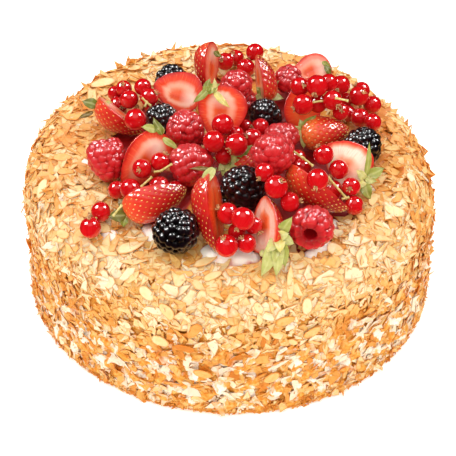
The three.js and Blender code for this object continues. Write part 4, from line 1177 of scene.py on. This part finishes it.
# The cream's body: its skin with slow ripples, swollen out where the coat is bare, closed by a
# pole in the middle of the top and one in the middle of its base.
def makeCream():
    rows, around = cream["rows"], cream["around"]
    run = (np.arange(rows) + 1) / rows * fullRun
    runs, angles = np.meshgrid(run, ringTurns(around), indexing="ij")
    points, normals = creamSkin(runs, angles)
    low = lowShare(points[..., 2]) * frontShare(angles) * np.clip(points[..., 2] / 6, 0, 1)
    bulges = 0.3 + waveField(runs, angles, 9, *cream["bulgeWaves"])
    swollen = cream["bulge"] * low * np.clip(bulges, -0.4, 1.6)
    ripple = cream["ripple"] * waveField(runs, angles, 10, *cream["rippleWaves"])
    points = points + normals * (ripple + swollen - 0.3)[..., None]
    points[-1, :, 2] = 0
    crumbs = np.clip(1 - 1.25 * bareness(runs, angles, points[..., 2]), 0, 1)
    top = cake["height"] + cake["bedRise"] - cake["sunk"] - 0.3
    corners = np.concatenate([points.reshape(-1, 3), [[0, 0, top], [0, 0, 0]]])
    onTop = corners[:, 2] > cake["height"] - 4
    # juice stain and painted shade: darker red where fruit crowds together
    juiceAndShade = (crowding(corners) - cream["juiceAndShadeFrom"]) / (cream["juiceAndShadeTo"] - cream["juiceAndShadeFrom"])
    juiceAndShade = np.clip(juiceAndShade, 0, 1) * onTop * (1 - spotShare(corners, 1.2))
    corners[:, 2] += spotShare(corners, 1.0, True) * onTop
    isBare = spotShare(corners, 1.3) * onTop
    crumbs = np.concatenate([crumbs.ravel(), [1, 1]]) * (1 - isBare) - 0.5 * isBare
    faces = facingOut(corners, wrappedFaces(rows, around))
    values = {"juiceAndShade": juiceAndShade, "crumbs": crumbs, "bare": isBare}
    item = meshPiece("cream_body", corners, faces, [creamMaterial()], values)
    fitPiece(item, "cake")


# Almond flakes
# For each kind: how many, the ranges of length, width and lift off the cream, the tilt in degrees,
# the stretch of the skin's run that they lie on, how toasted they are from 0 to 1, and how readily
# they leave the bare patches open.
almonds = {
    "shardsTop": {
        "count": 4500, "length": (5.0, 12.0), "width": (2.6, 6.6), "corners": 7, "lift": (0.2, 1.4),
        "tilt": 11, "run": (56, flatEdge + shoulderRun), "tone": 0.5, "cling": 0.65, "seed": 41},
    "shardsWall": {
        "count": 4600, "length": (4.0, 9.4), "width": (2.0, 5.2), "corners": 7, "lift": (0.2, 1.3),
        "tilt": 14, "run": (flatEdge + shoulderRun - 6, fullRun - 3.5), "tone": 0.45, "cling": 0.65,
        "seed": 42},
    "slices": {
        "count": 60, "length": (7.0, 11.0), "width": (3.8, 6.0), "corners": 12, "lift": (1.0, 1.8),
        "tilt": 9, "run": (66, fullRun - 12), "tone": 0.34, "cling": 1.3, "seed": 43},
    "crumbs": {
        "count": 5400, "length": (1.4, 3.8), "width": (0.8, 2.1), "corners": 5, "lift": (0.1, 1.2),
        "tilt": 28, "run": (58, fullRun - 0.6), "tone": 0.5, "cling": 0.3, "seed": 44},
    "footCrumbs": {
        "count": 2600, "length": (1.4, 4.0), "width": (0.8, 2.0), "corners": 5, "lift": (0.2, 1.3),
        "tilt": 22, "run": (fullRun - 6.5, fullRun - 0.5), "tone": 0.56, "cling": 0.2, "seed": 45},
}
flake = {
    "thickness": 0.46,
    "sliceCorners": 8,  # a flake with more is a whole slice of the nut
    "clearOfFruit": 0.7,
    "crowded": 2.1,  # the crowding of fruit where flakes stop
    "inSightLift": 2.3,
    "inSightTilt": 5,
    "grain": 4.2,  # patches of the nut's grain in 10 mm
    "daubs": 3,  # daubs of cream on the flakes in 10 mm
}
# How much browner, or paler, a flake is for its place, on a scale from raw (0) to dark (1).
# Some of it is painted light and shade: paler at the back, browner by the fruit.
toneShifts = {
    "random": 0.15,
    "patches": 0.09,
    # painted light: flakes at the back are paler to lift the shade on the far shoulder
    "frontTop": -0.32,
    "back": -0.22,
    "band": 0.12,  # round the middle of the wall
    "foot": 0.16,
    # painted shade and glow: flakes near fruit are browner, for the fruit's shadow and orange glow
    "paintedShadeAndGlowByFruit": 0.26,
    "inSight": 0.08,
}
# Flakes that stand out in the picture: the pixel of the middle, length and width in millimetres,
# the turn in the picture and the tone.
flakesSeen = [
    ((103, 87), 13.0, 8.0, 20, 0.08), ((86, 96), 8.5, 5.5, 50, 0.2), ((133, 72), 9.0, 5.0, -25, 0.15),
    ((131, 250), 13.0, 6.0, 22, 0.06), ((45, 192), 11.0, 5.4, 100, 0.05), ((62, 161), 9.0, 4.8, -8, 0.35),
    ((27, 199), 9.0, 3.0, 75, 0.6), ((66, 175), 8.0, 4.5, 0, 0.4), ((38, 170), 8.0, 6.0, 40, 0.45),
    ((205, 265), 12.0, 4.4, 38, 0.12), ((201, 300), 9.5, 4.6, 80, 0.04), ((289, 285), 15.5, 3.4, 87, 0.1),
    ((391, 213), 10.5, 6.0, -12, 0.08), ((411, 200), 6.5, 5.5, 60, 0.45), ((333, 252), 8.0, 6.5, -35, 0.1),
    ((161, 337), 8.5, 5.5, -25, 0.12), ((195, 327), 10.5, 5.0, 60, 0.5), ((185, 345), 9.5, 4.2, -8, 0.7),
    ((310, 330), 9.0, 5.5, 30, 0.3), ((257, 306), 6.0, 3.6, -60, 0.05), ((306, 305), 9.0, 5.0, 100, 0.02),
    ((396, 126), 11.5, 4.0, -20, 0.15), ((212, 278), 9.0, 3.6, 25, 0.12), ((167, 308), 9.5, 5.0, -55, 0.15),
    ((283, 318), 9.0, 5.0, 10, 0.35), ((203, 370), 9.0, 6.0, -20, 0.35), ((270, 375), 8.5, 5.5, 45, 0.3),
    ((148, 292), 9.0, 5.0, -40, 0.02), ((395, 292), 8.0, 3.4, 70, 0.3), ((66, 235), 8.5, 4.0, -20, 0.2),
    ((36, 222), 8.5, 4.0, -15, 0.3), ((345, 70), 7.5, 4.5, -20, 0.12), ((421, 150), 8.0, 4.2, -60, 0.3),
]


# Where the lines of sight of some pixels meet the coat, as a run and an angle: the nearest of many
# points of the skin that face the viewer.
def skinSeen(pixels):
    run, angle = np.linspace(40, fullRun, 260), np.linspace(0, 2 * math.pi, 900)
    runs, angles = (grid.ravel() for grid in np.meshgrid(run, angle, indexing="ij"))
    points, normals = creamSkin(runs, angles)
    away = eye - points
    isHidden = np.einsum("ij,ij->i", normals, away) <= 0
    depth = away @ pictureTowards
    across = camera["centrePixel"][0] - camera["focalPixels"] * (away @ pictureRight) / depth
    down = camera["centrePixel"][1] + camera["focalPixels"] * (away @ pictureUp) / depth
    apart = (across[:, None] - pixels[:, 0]) ** 2 + (down[:, None] - pixels[:, 1]) ** 2
    nearest = (apart + 1e6 * isHidden[:, None]).argmin(0)
    return runs[nearest], angles[nearest]


# Turns flakes that lie at points of the skin into a mesh. Each is a polygon with uneven corners,
# bent along its length by a square law and a little twisted, with a second face below it.
def flakeMesh(random, sides, foot, normal, along, length, width, tilted, lift, tone, smear):
    count = len(foot)
    across = np.cross(normal, along)
    face = normal * np.cos(tilted)[:, None] + across * np.sin(tilted)[:, None]
    across = np.cross(face, along)
    middle = foot + normal * (lift + 0.2 * width * np.abs(np.sin(tilted)))[:, None]
    length, width = length[:, None], width[:, None]
    isSlice = sides > flake["sliceCorners"]
    if isSlice:
        corner = np.tile(ringTurns(sides), (count, 1))
        reach = 1 + 0.1 * np.cos(corner) + 0.04 * random.normal(size=(count, sides)).clip(-1.6, 1.6)
    else:
        corner = (np.arange(sides)[None] + 0.9 * random.random((count, sides))) / sides * 2 * math.pi
        reach = 1 + 0.3 * random.normal(size=(count, sides)).clip(-1.7, 1.5)
    x = reach * np.cos(corner) * length / 2
    y = reach * np.sin(corner) * width / 2
    bend = random.normal(size=(count, 1)) * (0.4 if isSlice else 0.12 * length)
    twist = random.normal(size=(count, 1)) * 0.5
    thick = flake["thickness"] / 2 * np.clip(length / 5, 0.5, 1)
    # rings of corners: the upper face, its rim, the lower face, and the middles of both faces
    rings = [(0.8 * x, 0.8 * y, thick), (x, y, 0.5 * thick), (x, y, -0.7 * thick),
             (0 * thick, 0 * thick, thick), (0 * thick, 0 * thick, -thick)]
    px = np.concatenate([ring[0] for ring in rings], 1)
    py = np.concatenate([ring[1] for ring in rings], 1)
    above = np.concatenate([np.broadcast_to(ring[2], ring[0].shape) for ring in rings], 1)
    pz = bend * (2 * px / length) ** 2 + twist * (4 * px * py / (length * width)) + above
    corners = (middle[:, None] + px[..., None] * along[:, None] + py[..., None] * across[:, None]
               + pz[..., None] * face[:, None])
    corners[..., 2] = np.maximum(corners[..., 2], 0.2 + 0.2 * random.random(corners.shape[:2]))
    each = 3 * sides + 2
    i = np.arange(sides)
    j = (i + 1) % sides
    top = np.full(sides, 3 * sides)
    triangles = np.concatenate([np.stack([top, i, j], 1),
                                np.stack([top + 1, 2 * sides + j, 2 * sides + i], 1)])
    quads = np.concatenate([np.stack([i, sides + i, sides + j, j], 1),
                            np.stack([sides + i, 2 * sides + i, 2 * sides + j, sides + j], 1)])
    # brown at the edge and under the flake: part toast, part painted shade round and under each flake
    rim = np.concatenate([np.zeros(sides), np.ones(2 * sides), [0, 0.6]])
    values = {
        "tone": np.repeat(np.clip(tone, 0, 1), each),
        "rim": np.tile(rim, count),
        "smear": np.repeat(smear, each),
    }
    return corners.reshape(-1, 3), copiedFaces([triangles, quads], count, each), values


# How far each point of the cake's top is from the nearest fruit; points down the wall are far.
def fruitDistance(points, height):
    nearest = np.full(len(points), 1e3)
    fruit = np.concatenate(fruitPoints)
    fruit = fruit[fruit[:, 2] < cake["height"] + 12]
    onTop = np.where(height > cake["height"] - 8)[0]
    for part in np.array_split(onTop, len(onTop) // 400 + 1):
        nearest[part] = np.linalg.norm(points[part, None] - fruit[None], axis=2).min(1)
    return nearest


# How toasted flakes look at some places: an even tone with random and slow shifts, paler on the front of the
# top, paler at the back as painted light, browner in a band round the wall and at the foot, and browner by
# fruit as painted shade and orange glow from the fruit.
def flakeTone(base, random, run, angle, height, nearest):
    front = frontShare(angle)
    onTop = 1 - np.clip((cake["height"] - cake["shoulder"] - height) / 20, 0, 1)
    band = np.exp(-((height - 34) / 13) ** 2) * (0.5 + 0.5 * front)
    return (base + toneShifts["random"] * random.normal(size=len(run))
            + toneShifts["patches"] * waveField(run, angle, 8, 15, 50)
            + toneShifts["frontTop"] * front ** 3 * onTop
            + toneShifts["back"] * np.clip(np.sin(angle), 0, 1)
            + toneShifts["band"] * band
            + toneShifts["foot"] * np.clip((7 - height) / 5, 0, 1)
            + toneShifts["paintedShadeAndGlowByFruit"] * np.exp(-(nearest / 7) ** 2))


# Flakes of one kind, spread evenly over a stretch of the skin and turned at random. They keep off
# the fruit and the bare cream.
def flakeShapes(fact):
    random = np.random.default_rng(fact["seed"])
    count = fact["count"]
    table = np.linspace(*fact["run"], 400)
    weight = np.interp(table, [0, flatEdge, flatEdge + shoulderRun, fullRun], [0, flatEdge, 98, 97])
    share = np.cumsum(weight) / weight.sum()
    run = np.interp((np.arange(count) + random.random(count)) / count, share, table)
    angle = (np.arange(count) * goldenAngle + 0.06 * random.normal(size=count)) % (2 * math.pi)
    foot, normal = creamSkin(run, angle)
    height = foot[:, 2]
    length = random.uniform(*fact["length"], count)
    width = random.uniform(*fact["width"], count)
    nearest = fruitDistance(foot + normal, height)
    isOpen = random.random(count) < fact["cling"] * bareness(run, angle, height)
    isOpen |= (spotShare(foot, 1.1) > 0.4) & (height > cake["height"] - 4)
    isOpen |= crowding(foot) > flake["crowded"]
    keep = ~isOpen & (nearest > 0.2 * length + flake["clearOfFruit"])
    run, angle, foot, normal, height, length, width, nearest = (
        array[keep] for array in (run, angle, foot, normal, height, length, width, nearest))
    count = len(run)
    spin = random.random((count, 1)) * 2 * math.pi
    sideways = np.stack([-np.sin(angle), np.cos(angle), np.zeros(count)], -1)
    along = sideways * np.cos(spin) + np.cross(normal, sideways) * np.sin(spin)
    tilted = np.radians(fact["tilt"]) * np.clip(random.normal(size=count), -1.8, 1.8)
    lowFront = lowShare(height) * frontShare(angle)
    lift = random.uniform(*fact["lift"], count) * (1 - 0.4 * lowFront)
    tone = flakeTone(fact["tone"], random, run, angle, height, nearest)
    smear = np.clip(1.2 * bareness(run, angle, height) + 0.1 * lowFront, 0, 1)
    return flakeMesh(random, fact["corners"], foot, normal, along, length, width, tilted, lift, tone, smear)


# The flakes that stand out, laid on top of the others where the picture shows them.
def flakesInSight():
    random = np.random.default_rng(46)
    pixels = np.array([pixel for pixel, *_ in flakesSeen], float)
    length, width, turned, tone = np.array([others for _, *others in flakesSeen], float).T
    foot, normal = creamSkin(*skinSeen(pixels))
    turn = np.radians(turned)[:, None]
    along = pictureRight * np.cos(turn) + pictureUp * np.sin(turn)
    along = unit(along - normal * np.einsum("ij,ij->i", along, normal)[:, None])
    tilted = np.radians(flake["inSightTilt"]) * random.normal(size=len(tone))
    lift = np.full(len(tone), flake["inSightLift"])
    tone = tone + toneShifts["inSight"]
    return flakeMesh(random, 12, foot, normal, along, length, width, tilted, lift, tone, np.zeros(len(tone)))


# Toasted almond: dry slices of the nut. The cut is cream to gold with darker grain, and the thin
# edges have browned first; that edge brown, strongest under the flake, is also painted shade round and under
# it.
def almondMaterial():
    material = bareMaterial("toastedAlmond")
    place = addNode(material, "TexCoord")["Object"]
    tone, rim, smear = (addNode(material, "Attribute", attribute_name=key)["Fac"]
                        for key in ("tone", "rim", "smear"))
    grain = addNode(material, "TexNoise", {
        "Vector": place, "Scale": patchScale(flake["grain"]), "Detail": 3})["Fac"]
    # the tone carries the flake's toast and the painted light and shade of its place
    mixed = addNode(material, "Math", {0: grain, 1: 0.3, 2: tone}, operation="MULTIPLY_ADD")[0]
    cut = addNode(material, "ValToRGB", {"Fac": mixed}, [
        (0.12, "#efe2c0"), (0.35, "#eacd94"), (0.6, "#e4ae5e"), (0.85, "#da8b32"), (1.0, "#ca761e")])
    # edge brown: part toast, part painted shade round and under the flake
    edge = addNode(material, "Math", {0: rim, 1: 1.3}, operation="POWER")[0]
    edgeBrownAndShade = addNode(material, "Math", {0: edge, 1: 0.78}, operation="MULTIPLY")[0]
    toastAndShade = addNode(material, "Mix", {0: edgeBrownAndShade, 6: cut[0], 7: "#d87e1e"}, data_type="RGBA")[2]
    daub = addNode(material, "TexNoise", {
        "Vector": place, "Scale": patchScale(flake["daubs"]), "Detail": 3})["Fac"]
    daubed = addNode(material, "Math", {0: smear, 1: 0.7, 2: daub}, operation="MULTIPLY_ADD")[0]
    creamy = addNode(material, "ValToRGB", {"Fac": daubed}, [(0.66, 0.0), (1.0, 0.85)])
    colour = addNode(material, "Mix", {0: creamy[0], 6: toastAndShade, 7: "#f0e3ce"}, data_type="RGBA")[2]
    bump = addNode(material, "Bump", {"Height": grain, "Strength": 0.3, "Distance": 0.4 * mm})
    shader = addNode(material, "BsdfPrincipled", {
        "Base Color": colour, "Roughness": 0.55, "IOR": 1.45, "Normal": bump[0],
        "Subsurface Weight": 0.3, "Subsurface Radius": (1.0, 0.7, 0.4), "Subsurface Scale": 1 * mm})
    return finishMaterial(material, shader)


def makeAlmonds():
    material = almondMaterial()
    shapes = {name: flakeShapes(fact) for name, fact in almonds.items()}
    shapes["seen"] = flakesInSight()
    for name, (corners, faces, values) in shapes.items():
        item = meshPiece(f"almond_{name}", corners, faces, [material], values, smooth=False)
        fitPiece(item, "cake")
        print("almond", name, sum(len(group) * (group.shape[1] - 2) for group in faces), "triangles")


# Floor and light
studio = {
    "world": 0.98,
    "worldColour": "#fff1de",
    "floorSide": 12000,
    "floorGlow": 0.3,
    "floorPatches": 0.03,  # faint patches of the floor's white in 10 mm
    "lightsAimAt": (0, 0, 0.06),
    # each light's place, side and power, and whether it lights surfaces and shows in their gloss
    "lights": {
        "left": ((-0.7, -0.2, 1.05), 0.9, 3.0, True, False),
        "right": ((0.66, -0.15, 1.05), 0.9, 2.9, True, False),
        "front": ((-0.1, -1.35, 0.6), 1.1, 5.8, True, False),
        "back": ((0.0, 1.2, 0.9), 0.9, 7.5, True, False),
        "leftGlint": ((-0.66, 0.22, 0.88), 0.46, 16.0, False, True),
        "rightGlint": ((0.63, 0.26, 0.9), 0.42, 13.0, False, True),
        "overhead": ((0.0, -0.3, 1.5), 1.2, 3.4, True, True),
    },
}


# White board: plain and matt, and it glows a little, so that it stays white under the lights.
def floorMaterial():
    material = bareMaterial("paleFloor")
    place = addNode(material, "TexCoord")["Object"]
    soft = addNode(material, "TexNoise", {
        "Vector": place, "Scale": patchScale(studio["floorPatches"])})["Fac"]
    colour = addNode(material, "ValToRGB", {"Fac": soft}, [(0.3, "#fbfbfb"), (0.7, "#ffffff")])
    shader = addNode(material, "BsdfPrincipled", {
        "Base Color": colour[0], "Roughness": 0.8, "Emission Color": "#ffffff",
        "Emission Strength": studio["floorGlow"]})
    return finishMaterial(material, shader)


# A plain pale floor, a white room round it and soft lights. Only some lights show in the gloss.
def makeStudio():
    half = studio["floorSide"] / 2
    corners = np.array([[-half, -half, 0], [half, -half, 0], [half, half, 0], [-half, half, 0]])
    floor = meshPiece("floor", corners, [np.array([[0, 1, 2, 3]])], [floorMaterial()], smooth=False)
    floor.visible_glossy = False
    world = bpy.data.worlds.new("room")
    bpy.context.scene.world = world
    world.use_nodes = True
    background = world.node_tree.nodes["Background"]
    background.inputs["Color"].default_value = linearColour(studio["worldColour"])
    background.inputs["Strength"].default_value = studio["world"]
    world.cycles_visibility.glossy = False
    for name, (place, side, power, lights, glints) in studio["lights"].items():
        data = bpy.data.lights.new(name, "AREA")
        data.size = side
        data.energy = power
        item = bpy.data.objects.new(name, data)
        item.location = place
        item.visible_diffuse = lights
        item.visible_transmission = lights
        item.visible_glossy = glints
        heading = Vector(studio["lightsAimAt"]) - Vector(place)
        item.rotation_euler = heading.to_track_quat("-Z", "Y").to_euler()
        bpy.context.collection.objects.link(item)
    bpy.context.scene.view_settings.view_transform = "Standard"


makeCamera()
makeStudio()
makeStrawberries()
print("strawberries made")
makeDrupeBerries()
print("raspberries and brambles made")
makeCurrants()
print("currants made")
makeCream()
print("cream made")
makeAlmonds()
print("almonds made")
